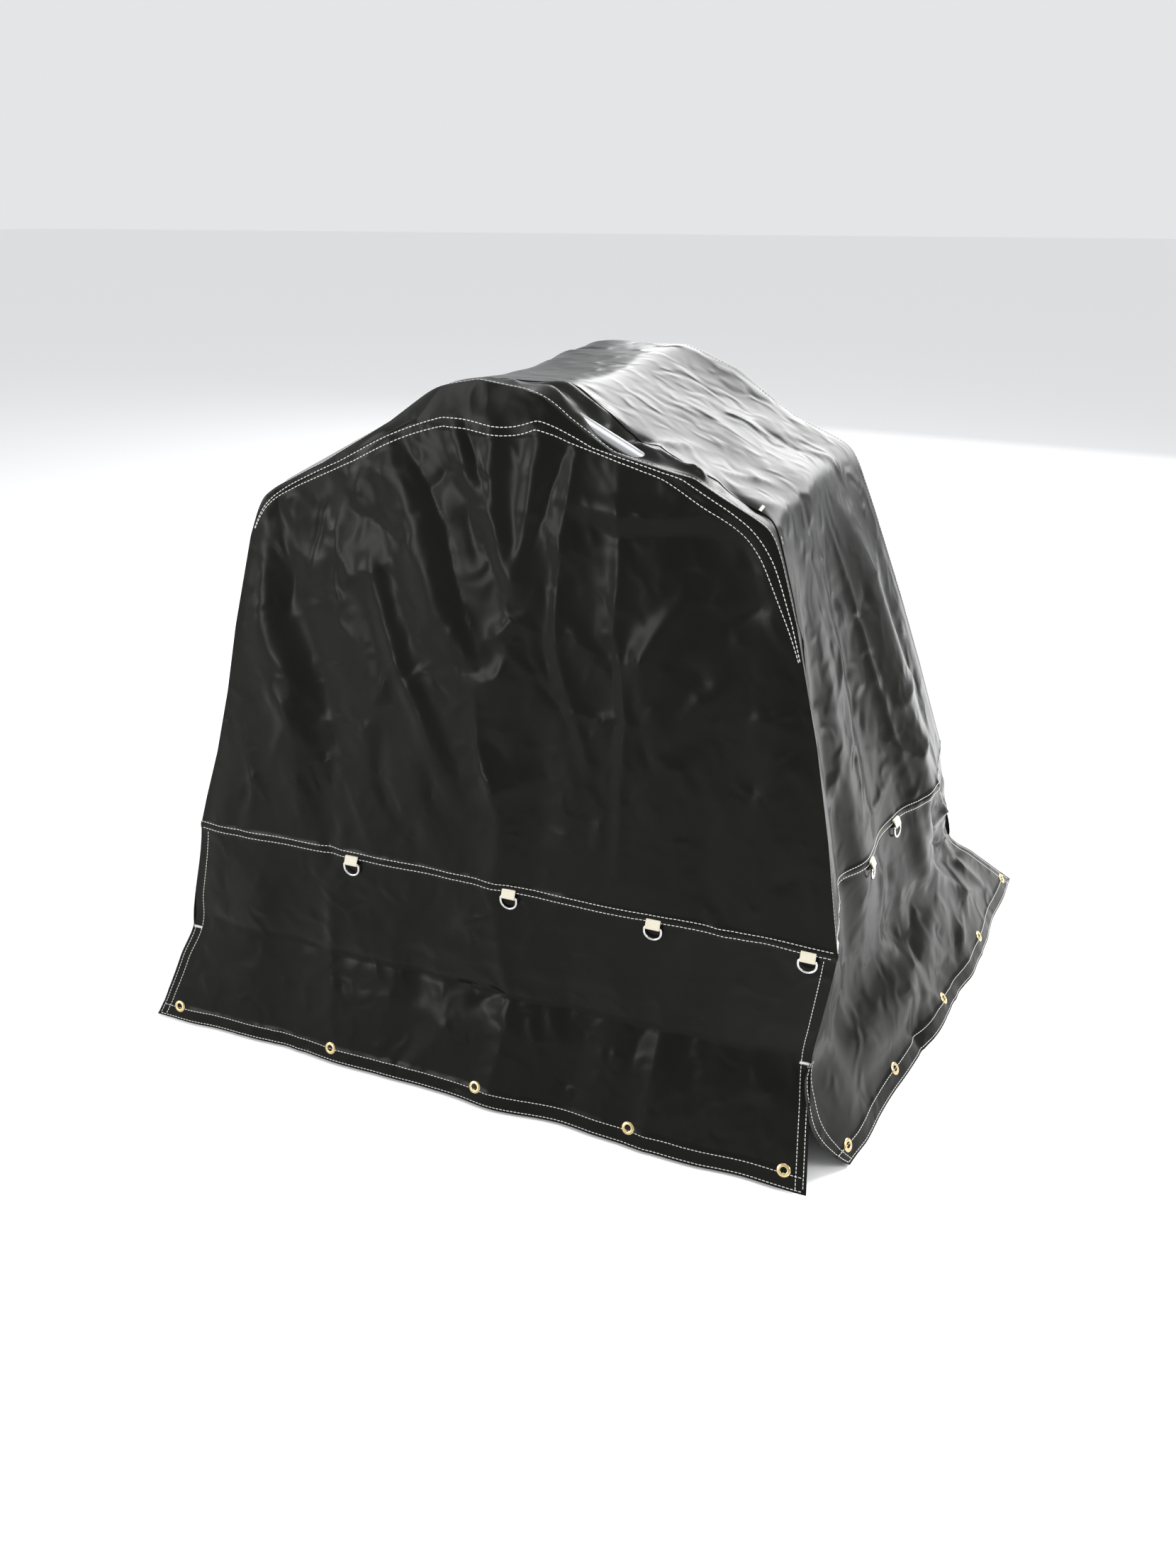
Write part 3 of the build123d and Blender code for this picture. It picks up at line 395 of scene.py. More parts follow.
class Noise:
    """Smooth repeatable noise between -1 and 1."""

    CELLS = 256
    SHARPNESS = 0.8

    def __init__(self, seed: int) -> None:
        self.table = np.random.default_rng(seed).uniform(-1, 1, (self.CELLS, self.CELLS))

    def __call__(self, x: np.ndarray, y: np.ndarray) -> np.ndarray:
        """The noise at each place, whose cells are one unit wide."""
        fx, fy = np.floor(x), np.floor(y)
        ix, iy = fx.astype(int), fy.astype(int)
        tx, ty = smooth(x - fx), smooth(y - fy)
        low = self._corner(ix, iy) * (1 - tx) + self._corner(ix + 1, iy) * tx
        high = self._corner(ix, iy + 1) * (1 - tx) + self._corner(ix + 1, iy + 1) * tx
        return low * (1 - ty) + high * ty

    def _corner(self, ix: np.ndarray, iy: np.ndarray) -> np.ndarray:
        """The value at each cell's corner."""
        return self.table[ix % self.CELLS, iy % self.CELLS]

    def ridged(self, x: np.ndarray, y: np.ndarray) -> np.ndarray:
        """Crumpled noise: sharp crests between -1 and 1."""
        return 1 - 2 * np.abs(self(x, y)) ** self.SHARPNESS


# --------------------------------------------------------------------- folds
@dataclass(frozen=True)
class Fold:
    """One fold, laid along a path on a side of the cover.

    Args:
        path: places along the fold: across and up, in metres.
        width: half width of the fold.
        height: how far it stands out, negative for a hollow.
        kind: its shape across the path.
    """

    path: tuple
    width: float
    height: float
    kind: FoldKind = FoldKind.RIDGE


CREASE = FoldKind.CREASE

FRONT_FOLDS = (
    Fold(((-0.20, 0.93), (-0.175, 0.859), (-0.146, 0.755), (-0.04, 0.545)), 0.014, 0.0085),
    Fold(((-0.175, 1.10), (-0.12, 0.985), (-0.08, 0.875), (-0.016, 0.78)), 0.024, 0.0125),
    Fold(((-0.138, 1.125), (-0.081, 1.0), (-0.046, 0.895), (-0.01, 0.79)), 0.008, -0.0045, CREASE),
    Fold(((-0.348, 1.006), (-0.339, 0.828), (-0.299, 0.692), (-0.287, 0.532), (-0.27, 0.44)), 0.034, -0.011),
    Fold(((-0.40, 0.94), (-0.40, 0.80), (-0.375, 0.66), (-0.37, 0.50)), 0.028, 0.008),
    Fold(((-0.057, 1.15), (-0.023, 1.03)), 0.012, 0.005),
    Fold(((-0.035, 1.145), (0.0, 1.034)), 0.008, -0.004, CREASE),
    Fold(((0.01, 1.14), (0.0, 1.024), (0.036, 0.904)), 0.013, 0.0075),
    Fold(((0.081, 1.147), (0.067, 1.055), (0.041, 0.91)), 0.012, 0.0075),
    Fold(((0.119, 1.13), (0.084, 1.031), (0.047, 0.94)), 0.009, -0.005, CREASE),
    Fold(((0.13, 1.117), (0.113, 0.994), (0.121, 0.829), (0.133, 0.743), (0.165, 0.652)),
         0.009, 0.0065, CREASE),
    Fold(((0.122, 0.893), (0.21, 0.787)), 0.010, 0.004, CREASE),
    Fold(((0.193, 1.05), (0.211, 0.862), (0.221, 0.734), (0.22, 0.593), (0.223, 0.47)), 0.011, 0.007, CREASE),
    Fold(((0.26, 1.0), (0.262, 0.80), (0.268, 0.60), (0.27, 0.48)), 0.03, 0.006),
    Fold(((0.11, 1.05), (0.191, 1.035), (0.259, 1.035), (0.327, 1.05), (0.388, 1.02)), 0.014, 0.008),
    Fold(((0.14, 1.02), (0.20, 1.005), (0.27, 1.01), (0.35, 1.01)), 0.012, -0.005),
    Fold(((0.004, 0.64), (0.017, 0.525), (0.019, 0.40), (0.02, 0.33)), 0.024, 0.007),
    Fold(((-0.04, 0.60), (-0.01, 0.625), (0.02, 0.60)), 0.007, 0.004, CREASE),
    Fold(((-0.02, 0.57), (0.015, 0.59), (0.045, 0.565)), 0.006, 0.0035, CREASE),
    Fold(((0.015, 0.845), (0.06, 0.80), (0.115, 0.765)), 0.009, 0.0045, CREASE),
    Fold(((0.302, 0.933), (0.231, 0.801)), 0.012, 0.005),
    Fold(((0.363, 0.819), (0.296, 0.724)), 0.012, 0.0045),
    Fold(((0.42, 0.86), (0.435, 0.70), (0.44, 0.48)), 0.026, 0.006),
    Fold(((-0.42, 0.72), (-0.39, 0.679), (-0.319, 0.584)), 0.013, 0.0055),
    Fold(((-0.193, 0.671), (-0.19, 0.574), (-0.152, 0.493)), 0.012, -0.0055),
    Fold(((-0.12, 0.66), (-0.11, 0.55), (-0.09, 0.46)), 0.02, 0.005),
    Fold(((0.34, 0.64), (0.36, 0.54), (0.37, 0.45)), 0.018, -0.005),
    Fold(((-0.56, 0.23), (-0.30, 0.212), (0.0, 0.20), (0.30, 0.205), (0.53, 0.215)), 0.011, -0.0075, CREASE),
    Fold(((-0.45, 0.40), (-0.47, 0.28), (-0.50, 0.10)), 0.035, 0.007),
    Fold(((-0.14, 0.39), (-0.13, 0.25), (-0.15, 0.03)), 0.04, -0.006),
    Fold(((0.16, 0.38), (0.17, 0.25), (0.15, 0.03)), 0.03, -0.005),
    Fold(((0.42, 0.40), (0.41, 0.25), (0.43, 0.05)), 0.03, 0.006),
    Fold(((-0.02, 0.76), (-0.01, 0.66), (0.03, 0.54), (0.02, 0.43)), 0.014, 0.0075, CREASE),
    Fold(((0.07, 0.74), (0.09, 0.62), (0.08, 0.46)), 0.02, -0.006),
    Fold(((-0.30, 0.62), (-0.24, 0.52), (-0.21, 0.44)), 0.013, 0.0055, CREASE),
    Fold(((-0.47, 0.62), (-0.45, 0.52), (-0.46, 0.44)), 0.016, 0.0055, CREASE),
    Fold(((0.02, 0.40), (0.03, 0.24), (0.02, 0.03)), 0.016, 0.0065, CREASE),
    Fold(((-0.30, 0.39), (-0.31, 0.22), (-0.29, 0.03)), 0.018, 0.006, CREASE),
    Fold(((0.29, 0.39), (0.31, 0.22), (0.30, 0.03)), 0.018, 0.006, CREASE),
)

RIGHT_FOLDS = (
    Fold(((-0.29, 0.90), (-0.30, 0.72), (-0.315, 0.52), (-0.31, 0.43)), 0.022, 0.007),
    Fold(((-0.20, 0.86), (-0.21, 0.66), (-0.20, 0.45), (-0.195, 0.25)), 0.03, -0.009),
    Fold(((-0.06, 0.92), (-0.05, 0.70), (-0.075, 0.45)), 0.02, 0.006),
    Fold(((0.05, 0.96), (0.10, 0.76), (0.12, 0.52), (0.13, 0.43)), 0.012, 0.006, CREASE),
    Fold(((0.18, 0.93), (0.22, 0.70), (0.20, 0.48)), 0.028, 0.009),
    Fold(((0.27, 0.80), (0.30, 0.60), (0.27, 0.46)), 0.016, -0.006),
    Fold(((-0.12, 0.50), (-0.02, 0.47), (0.08, 0.50)), 0.010, 0.0045, CREASE),
    Fold(((0.09, 0.56), (0.17, 0.50), (0.27, 0.53)), 0.011, 0.0055, CREASE),
    Fold(((0.16, 0.60), (0.24, 0.62), (0.31, 0.58)), 0.010, 0.0045, CREASE),
    Fold(((-0.28, 0.40), (-0.27, 0.22), (-0.26, 0.03)), 0.026, -0.007),
    Fold(((0.0, 0.38), (0.03, 0.22), (0.07, 0.04)), 0.03, -0.008),
    Fold(((-0.30, 0.13), (-0.10, 0.12), (0.10, 0.135), (0.24, 0.19)), 0.034, 0.013),
    Fold(((-0.30, 0.05), (0.0, 0.045), (0.22, 0.07)), 0.02, -0.006),
    Fold(((0.12, 0.40), (0.17, 0.27), (0.28, 0.17)), 0.018, 0.013),
    Fold(((0.19, 0.41), (0.22, 0.32), (0.31, 0.22)), 0.011, -0.012, CREASE),
    Fold(((0.24, 0.41), (0.28, 0.33), (0.36, 0.27)), 0.012, 0.014, CREASE),
    Fold(((0.22, 0.34), (0.30, 0.35), (0.38, 0.33)), 0.009, 0.010, CREASE),
    Fold(((0.30, 0.40), (0.35, 0.33), (0.40, 0.31)), 0.010, -0.011, CREASE),
    Fold(((0.26, 0.28), (0.34, 0.25), (0.44, 0.22)), 0.010, 0.011, CREASE),
    Fold(((0.28, 0.22), (0.38, 0.17), (0.48, 0.16)), 0.012, -0.010, CREASE),
    Fold(((0.22, 0.24), (0.34, 0.13), (0.45, 0.08)), 0.014, 0.013, CREASE),
    Fold(((0.36, 0.24), (0.42, 0.16), (0.50, 0.05)), 0.012, 0.011, CREASE),
    Fold(((0.44, 0.22), (0.52, 0.16), (0.60, 0.10)), 0.012, 0.010, CREASE),
)

REAR_FOLDS = (
    Fold(((-0.30, 1.02), (-0.27, 0.82), (-0.24, 0.60), (-0.25, 0.45)), 0.024, 0.008),
    Fold(((-0.11, 1.10), (-0.09, 0.88), (-0.12, 0.66)), 0.012, 0.006, CREASE),
    Fold(((0.03, 1.14), (0.06, 0.96), (0.05, 0.80)), 0.018, 0.008),
    Fold(((0.21, 1.06), (0.19, 0.86), (0.22, 0.62), (0.21, 0.44)), 0.014, 0.007, CREASE),
    Fold(((0.36, 0.94), (0.38, 0.72), (0.42, 0.50)), 0.028, -0.009),
    Fold(((-0.44, 0.80), (-0.42, 0.60), (-0.47, 0.45)), 0.022, -0.007),
    Fold(((-0.02, 0.62), (0.01, 0.50), (0.0, 0.32)), 0.03, 0.008),
    Fold(((-0.38, 0.38), (-0.40, 0.20), (-0.37, 0.03)), 0.04, 0.012),
    Fold(((0.36, 0.38), (0.39, 0.20), (0.36, 0.03)), 0.04, 0.012),
    Fold(((-0.16, 0.36), (-0.18, 0.20), (-0.15, 0.03)), 0.03, -0.008),
    Fold(((0.15, 0.36), (0.17, 0.20), (0.14, 0.03)), 0.03, -0.008),
)



def turned(fold: Fold) -> Fold:
    """A fold of the right side as the left side has it: a little wavier, lower and wider."""
    sway, waves, down, wider, lower = 0.02, 9, 0.01, 1.1, 0.9
    path = tuple((y + sway * math.sin(waves * z), z - down) for y, z in fold.path)
    return Fold(path, fold.width * wider, fold.height * lower, fold.kind)


LEFT_FOLDS = tuple(turned(fold) for fold in RIGHT_FOLDS[::-1])

ROOF_FOLDS = (
    Fold(((-0.31, 0.33), (-0.20, 0.30), (-0.12, 0.36)), 0.010, 0.004, CREASE),
    Fold(((-0.31, 0.24), (-0.23, 0.22), (-0.15, 0.25)), 0.009, 0.005, CREASE),
    Fold(((-0.30, 0.17), (-0.24, 0.19)), 0.008, 0.0045, CREASE),
    Fold(((-0.29, -0.22), (-0.12, -0.26), (0.10, -0.23)), 0.022, 0.005),
    Fold(((-0.05, 0.28), (0.12, 0.25), (0.25, 0.29)), 0.02, 0.004),
)


@dataclass(frozen=True)
class Scatter:
    """Short creases left by packing, strewn at random over a panel.

    Args:
        seed: where the random draws start.
        count: how many creases.
        across: lowest and highest place across the panel, in metres.
        up: lowest and highest place up the panel, in metres.
        deep: least and greatest height of a crease, in metres.
        half: least and greatest half length, in metres.
        width: least and greatest half width, in metres.
        spread: how far the creases turn from upright, in radians.
        bow: the most that a crease bows, as a share of its half length.
    """

    seed: int
    count: int
    across: tuple
    up: tuple
    deep: tuple = (0.0024, 0.0056)
    half: tuple = (0.018, 0.055)
    width: tuple = (0.009, 0.015)
    spread: float = 0.75
    bow: float = 0.25

    def folds(self) -> tuple:
        """The creases, the same on every run."""
        draw = random.Random(self.seed)
        creases = []
        for _ in range(self.count):
            x, z = draw.uniform(*self.across), draw.uniform(*self.up)
            turn = draw.gauss(math.pi / 2, self.spread)
            half = draw.uniform(*self.half)
            run, rise = half * math.cos(turn), half * math.sin(turn)
            side = draw.uniform(-self.bow, self.bow)
            path = ((x - run, z - rise), (x - side * rise, z + side * run), (x + run, z + rise))
            height = draw.uniform(*self.deep) * draw.choice((-1, 1))
            creases.append(Fold(path, draw.uniform(*self.width), height, CREASE))
        return tuple(creases)


CRUMPLED = (0.005, 0.010)      # heights where the cloth is bunched up

FRONT_CREASES = Scatter(31, 90, (-0.50, 0.50), (0.05, 1.08)).folds()
RIGHT_CREASES = (Scatter(32, 46, (-0.32, 0.34), (0.05, 0.88)).folds()
                 + Scatter(37, 22, (-0.05, 0.40), (0.05, 0.36), CRUMPLED).folds())
REAR_CREASES = Scatter(33, 60, (-0.50, 0.50), (0.05, 1.08)).folds()
LEFT_CREASES = Scatter(34, 46, (-0.32, 0.34), (0.05, 0.88)).folds()
ROOF_CREASES = (Scatter(35, 26, (-0.31, 0.31), (-0.42, 0.42)).folds()
                + Scatter(36, 22, (-0.34, -0.22), (-0.05, 0.38), CRUMPLED).folds())


@dataclass(frozen=True)
class Layer:
    """One layer of noise over a side.

    Args:
        cells: cells per metre, across and up.
        start: where in the noise the layer starts, across and up.
        amount: its height as a share of the crumple, or the level that its patches start from.
        slant: cells that it shifts across per metre up, and up per metre across.
    """

    cells: tuple
    start: tuple
    amount: float
    slant: tuple = (0, 0)

    def at(self, across: np.ndarray, up: np.ndarray) -> tuple[np.ndarray, np.ndarray]:
        """Places in the noise for places on the side."""
        x = across * self.cells[0] + up * self.slant[0] + self.start[0]
        y = up * self.cells[1] + across * self.slant[1] + self.start[1]
        return x, y


class FoldField:
    """The folds of one side, as a height over its across and up places."""

    WARP = Layer((7, 7), (3, 9), 0.012)
    WAVES = Layer((5.5, 2.6), (31, 17), 4.6)
    SMALL = Layer((15, 9), (0, 40), 1.4)
    SMALL_PATCHES = Layer((4, 4), (70, 20), 0.5)
    FINE = Layer((34, 21), (11, 5), 0.55, (9, -6))
    FINE_PATCHES = Layer((6, 5), (50, 33), 0.4)
    SMALL_WARP = 60            # cells that the small layer shifts per metre of warp
    FAR = 9.0                  # farther than any fold
    END_SHARE = 0.06           # how far into its rise a fold starts
    END_POWER = 0.6
    CREASE_ROUND = 4e-6        # square of a crease's radius

    def __init__(self, folds: Sequence[Fold], seed: int, crumple: float) -> None:
        self.folds = folds
        self.noise = Noise(seed)
        self.crumple = crumple

    def __call__(self, across: np.ndarray, up: np.ndarray) -> np.ndarray:
        """How far the cloth stands out at each place, in metres."""
        warp = self.WARP.amount * self.noise(*self.WARP.at(across, up))
        total = np.zeros_like(across)
        for fold in self.folds:
            total += self._fold(fold, across + warp, up)
        waves = self.WAVES.amount * self.noise(*self.WAVES.at(across, up))
        x, y = self.SMALL.at(across, up)
        small = self.SMALL.amount * self.noise.ridged(x + warp * self.SMALL_WARP, y)
        fine = self.FINE.amount * self.noise.ridged(*self.FINE.at(across, up))
        small = small * self._patches(self.SMALL_PATCHES, across, up)
        fine = fine * self._patches(self.FINE_PATCHES, across, up)
        return total + self.crumple * (waves + small + fine)

    def _patches(self, layer: Layer, across: np.ndarray, up: np.ndarray) -> np.ndarray:
        """Where another layer shows, from 0 to 1."""
        return smooth(layer.amount + self.noise(*layer.at(across, up)))

    def _fold(self, fold: Fold, across: np.ndarray, up: np.ndarray) -> np.ndarray:
        """The height of one fold."""
        path = np.array(fold.path)
        lengths = np.linalg.norm(np.diff(path, axis=0), axis=1)
        reached = np.concatenate([[0], np.cumsum(lengths)])
        best = np.full(across.shape, self.FAR)
        along = np.zeros_like(across)
        for start, end, length, before in zip(path, path[1:], lengths, reached):
            way = (end - start) / length
            dx, dy = across - start[0], up - start[1]
            t = np.clip(dx * way[0] + dy * way[1], 0, length)
            gap = np.hypot(dx - t * way[0], dy - t * way[1])
            near = gap < best
            best = np.where(near, gap, best)
            along = np.where(near, before + t, along)
        share = self.END_SHARE + (1 - 2 * self.END_SHARE) * along / reached[-1]
        fade = np.sin(np.pi * np.clip(share, 0, 1)) ** self.END_POWER
        if fold.kind is FoldKind.RIDGE:
            shape = np.exp(-0.5 * (best / fold.width) ** 2)
        else:
            shape = np.exp(-np.sqrt(best ** 2 + self.CREASE_ROUND) / fold.width)
        return fold.height * fade * shape


# --------------------------------------------------------------- cover edges
class CoverEdges:
    """The lines that the cover's CAD solids run through, read from the frame."""

    MERGE = 0.009              # points closer than this are two faces of one sheet
    OUTER = 0.0015             # how much farther out the outer face is
    LEVEL = 0.0006             # points this near a height are at it
    SPACING = 0.002            # least distance between a line's points
    END_DEPTH = 0.06           # an end's line is within this of the end
    ARCH_FROM = 0.3            # the shoulder is this far above the seam or more
    ARCH_TO = 0.05             # and this far below the roof or more
    SHOULDER_POINTS = 12
    SHOULDER_BAND = 0.004
    FINE_LEVEL = 0.0003
    INSIDE_HEIGHT = 0.6

    def __init__(self) -> None:
        low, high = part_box("skirt_front")
        self.hem, self.seam = low.z, high.z
        tack_low, tack_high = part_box("slit_bar_tacks")
        heights = node_points("skirt_front")[:, 2]
        self.slit = float(heights[np.abs(heights - (tack_low.z + tack_high.z) / 2).argmin()])
        self.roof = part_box("cover_main_band")[1].z
        arch = np.concatenate([node_points("cover_main_band"), node_points("cover_front_gusset")])
        upper = (arch[:, 2] > self.seam + self.ARCH_FROM) & (arch[:, 2] < self.roof - self.ARCH_TO)
        self.shoulder = self._shoulder(arch[upper])
        self.axle_y = float(sum(corner.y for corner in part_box("axle")) / 2)
        self.inside = np.array([0.0, self.axle_y, self.INSIDE_HEIGHT])
        self.lines = {
            Side.RIGHT: self._side(arch, 1.0, "skirt_right"),
            Side.LEFT: self._side(arch, -1.0, "skirt_left"),
        }
        for side, node, sign in ((Side.FRONT, "skirt_front", -1.0), (Side.REAR, "skirt_rear", 1.0)):
            points = node_points(node)
            self.lines[side] = [self._line(points, z, 1, sign) for z in (self.seam, self.slit, self.hem)]
        self.rings = np.array([j["pos_m"] for j in frame["joints"] if j["child"].startswith("ring_")])

    def _shoulder(self, band: Points) -> float:
        """The bend between roof and sides: the lowest height at which every point is as far out."""
        found = []
        for height in np.unique(np.round(band[:, 2], 4)):
            half = np.abs(band[np.abs(band[:, 2] - height) < self.FINE_LEVEL, 0])
            if len(half) >= self.SHOULDER_POINTS and np.ptp(half) < self.LEVEL:
                found.append(float(height))
        return max(h for h in found if h < found[0] + self.SHOULDER_BAND)

    def _side(self, arch: Points, sign: float, node: str) -> list[Points]:
        """The lines of the left or right side, from the hem's up to the roof's."""
        points = node_points(node)
        lines = [self._line(points, z, 0, sign) for z in (self.hem, self.slit, self.seam)]
        return lines + [self._line(arch, z, 0, sign) for z in (self.shoulder, self.roof)]

    def _line(self, points: Points, height: float, key: int, sign: float) -> Points:
        """The outermost points at one height, in order along the side.

        Args:
            points: the vertices to look among.
            height: the line's height.
            key: 0 for a left or right side, 1 for an end.
            sign: 1 for the right side and the rear, -1 for the left side and the front.

        Returns:
            The line's points.
        """
        flat = points[np.abs(points[:, 2] - height) < self.LEVEL]
        if key == 0:
            flat = flat[sign * flat[:, 0] > 0.0]
        gaps = np.linalg.norm(flat[:, None] - flat[None], axis=2)
        ahead = sign * (flat[None, :, key] - flat[:, None, key]) > self.OUTER
        flat = flat[~((gaps < self.MERGE) & ahead).any(axis=1)]
        if key == 1:
            flat = flat[sign * flat[:, 1] + self.END_DEPTH > (sign * flat[:, 1]).max()]
        flat = flat[np.argsort(flat[:, 1 - key])]
        keep = np.concatenate([[True], np.diff(flat[:, 1 - key]) > self.SPACING])
        return flat[keep]


# -------------------------------------------------------------- cloth pieces
class Cloth:
    """One cut piece of the cover as a grid of points.

    Args:
        name: the piece's name.
        inside: a point inside the cover, which the piece's outer face looks away from.
        base: the sewn shape without folds, rows by columns.
        points: the same grid with its folds.
        rows: each row's own measure, rising.
        cols: each column's own measure, rising.
        hole: faces left out, rows by columns of faces.
    """

    def __init__(self, name: str, inside: Points, base: Points, points: Points, rows: np.ndarray,
                 cols: np.ndarray, hole: np.ndarray | None = None) -> None:
        self.name, self.base, self.points = name, base, points
        self.rows, self.cols = rows, cols
        self.hole = np.zeros((len(rows) - 1, len(cols) - 1), bool) if hole is None else hole
        across = np.gradient(points, axis=1)
        along = np.gradient(points, axis=0)
        self.normals = unit(np.cross(across, along))
        self.flip = float(((points - inside) * self.normals).sum(-1).mean()) < 0
        if self.flip:
            self.normals = -self.normals

    def place(self, row: np.ndarray, col: np.ndarray) -> tuple[Points, Points]:
        """Points and normals at places given in row and column measures.

        Args:
            row: the places' row measures.
            col: the places' column measures.

        Returns:
            The points and the normals.
        """
        r, c = self._index(row, self.rows), self._index(col, self.cols)
        i, j = r.astype(int), c.astype(int)
        a, b = (r - i)[:, None], (c - j)[:, None]
        out = []
        for grid in (self.points, self.normals):
            low = grid[i, j] * (1 - b) + grid[i, j + 1] * b
            high = grid[i + 1, j] * (1 - b) + grid[i + 1, j + 1] * b
            out.append(low * (1 - a) + high * a)
        return out[0], unit(out[1])

    @staticmethod
    def _index(measure: np.ndarray, measures: np.ndarray) -> np.ndarray:
        """Grid places of measures, always short of the last line."""
        return np.clip(np.interp(measure, measures, np.arange(len(measures))), 0, len(measures) - 1.0001)

    def build(self, sizes: ClothSizes) -> bpy.types.Object:
        """Makes the piece with both faces and its edges."""
        count_r, count_c = self.points.shape[:2]
        index = np.arange(count_r * count_c).reshape(count_r, count_c)
        quads = np.stack([index[:-1, :-1], index[:-1, 1:], index[1:, 1:], index[1:, :-1]], -1)
        quads = quads[~self.hole]
        if self.flip:
            quads = quads[:, ::-1]
        outer = self.points.reshape(-1, 3)
        inner = outer - self.normals.reshape(-1, 3) * sizes.thickness
        edges = np.concatenate([quads[:, [k, (k + 1) % 4]] for k in range(4)])
        key = np.sort(edges, axis=1)
        _, where, counts = np.unique(key, axis=0, return_index=True, return_counts=True)
        rim = edges[where[counts == 1]]
        shift = count_r * count_c
        walls = np.stack([rim[:, 1], rim[:, 0], rim[:, 0] + shift, rim[:, 1] + shift], -1)
        faces = np.concatenate([quads, quads[:, ::-1] + shift, walls])
        used = np.unique(faces)
        renumber = np.zeros(2 * shift, int)
        renumber[used] = np.arange(len(used))
        return make_mesh(self.name, np.concatenate([outer, inner])[used], renumber[faces])

    def spans(self) -> tuple[float, float]:
        """The longest row and the longest column of the cut, in metres."""
        across = np.linalg.norm(np.diff(self.base, axis=1), axis=-1).sum(1).max()
        along = np.linalg.norm(np.diff(self.base, axis=0), axis=-1).sum(0).max()
        return float(across), float(along)


def graded(length: float, step: float, marks: Sequence[float]) -> np.ndarray:
    """Distances along a length, with a close pair round each mark.

    Args:
        length: the whole length.
        step: about how far apart they are.
        marks: places where the cloth steps up or down.

    Returns:
        The distances, rising.
    """
    even = steps(length, step) * length
    extra = [m + d for m in marks for d in (-PAIR_HALF, PAIR_HALF)]
    kept = [e for e in even if all(abs(e - x) > PAIR_CLEAR for x in extra) or e in (0.0, length)]
    return np.array(sorted({round(float(v), 6) for v in [*kept, *extra] if 0 <= v <= length}))


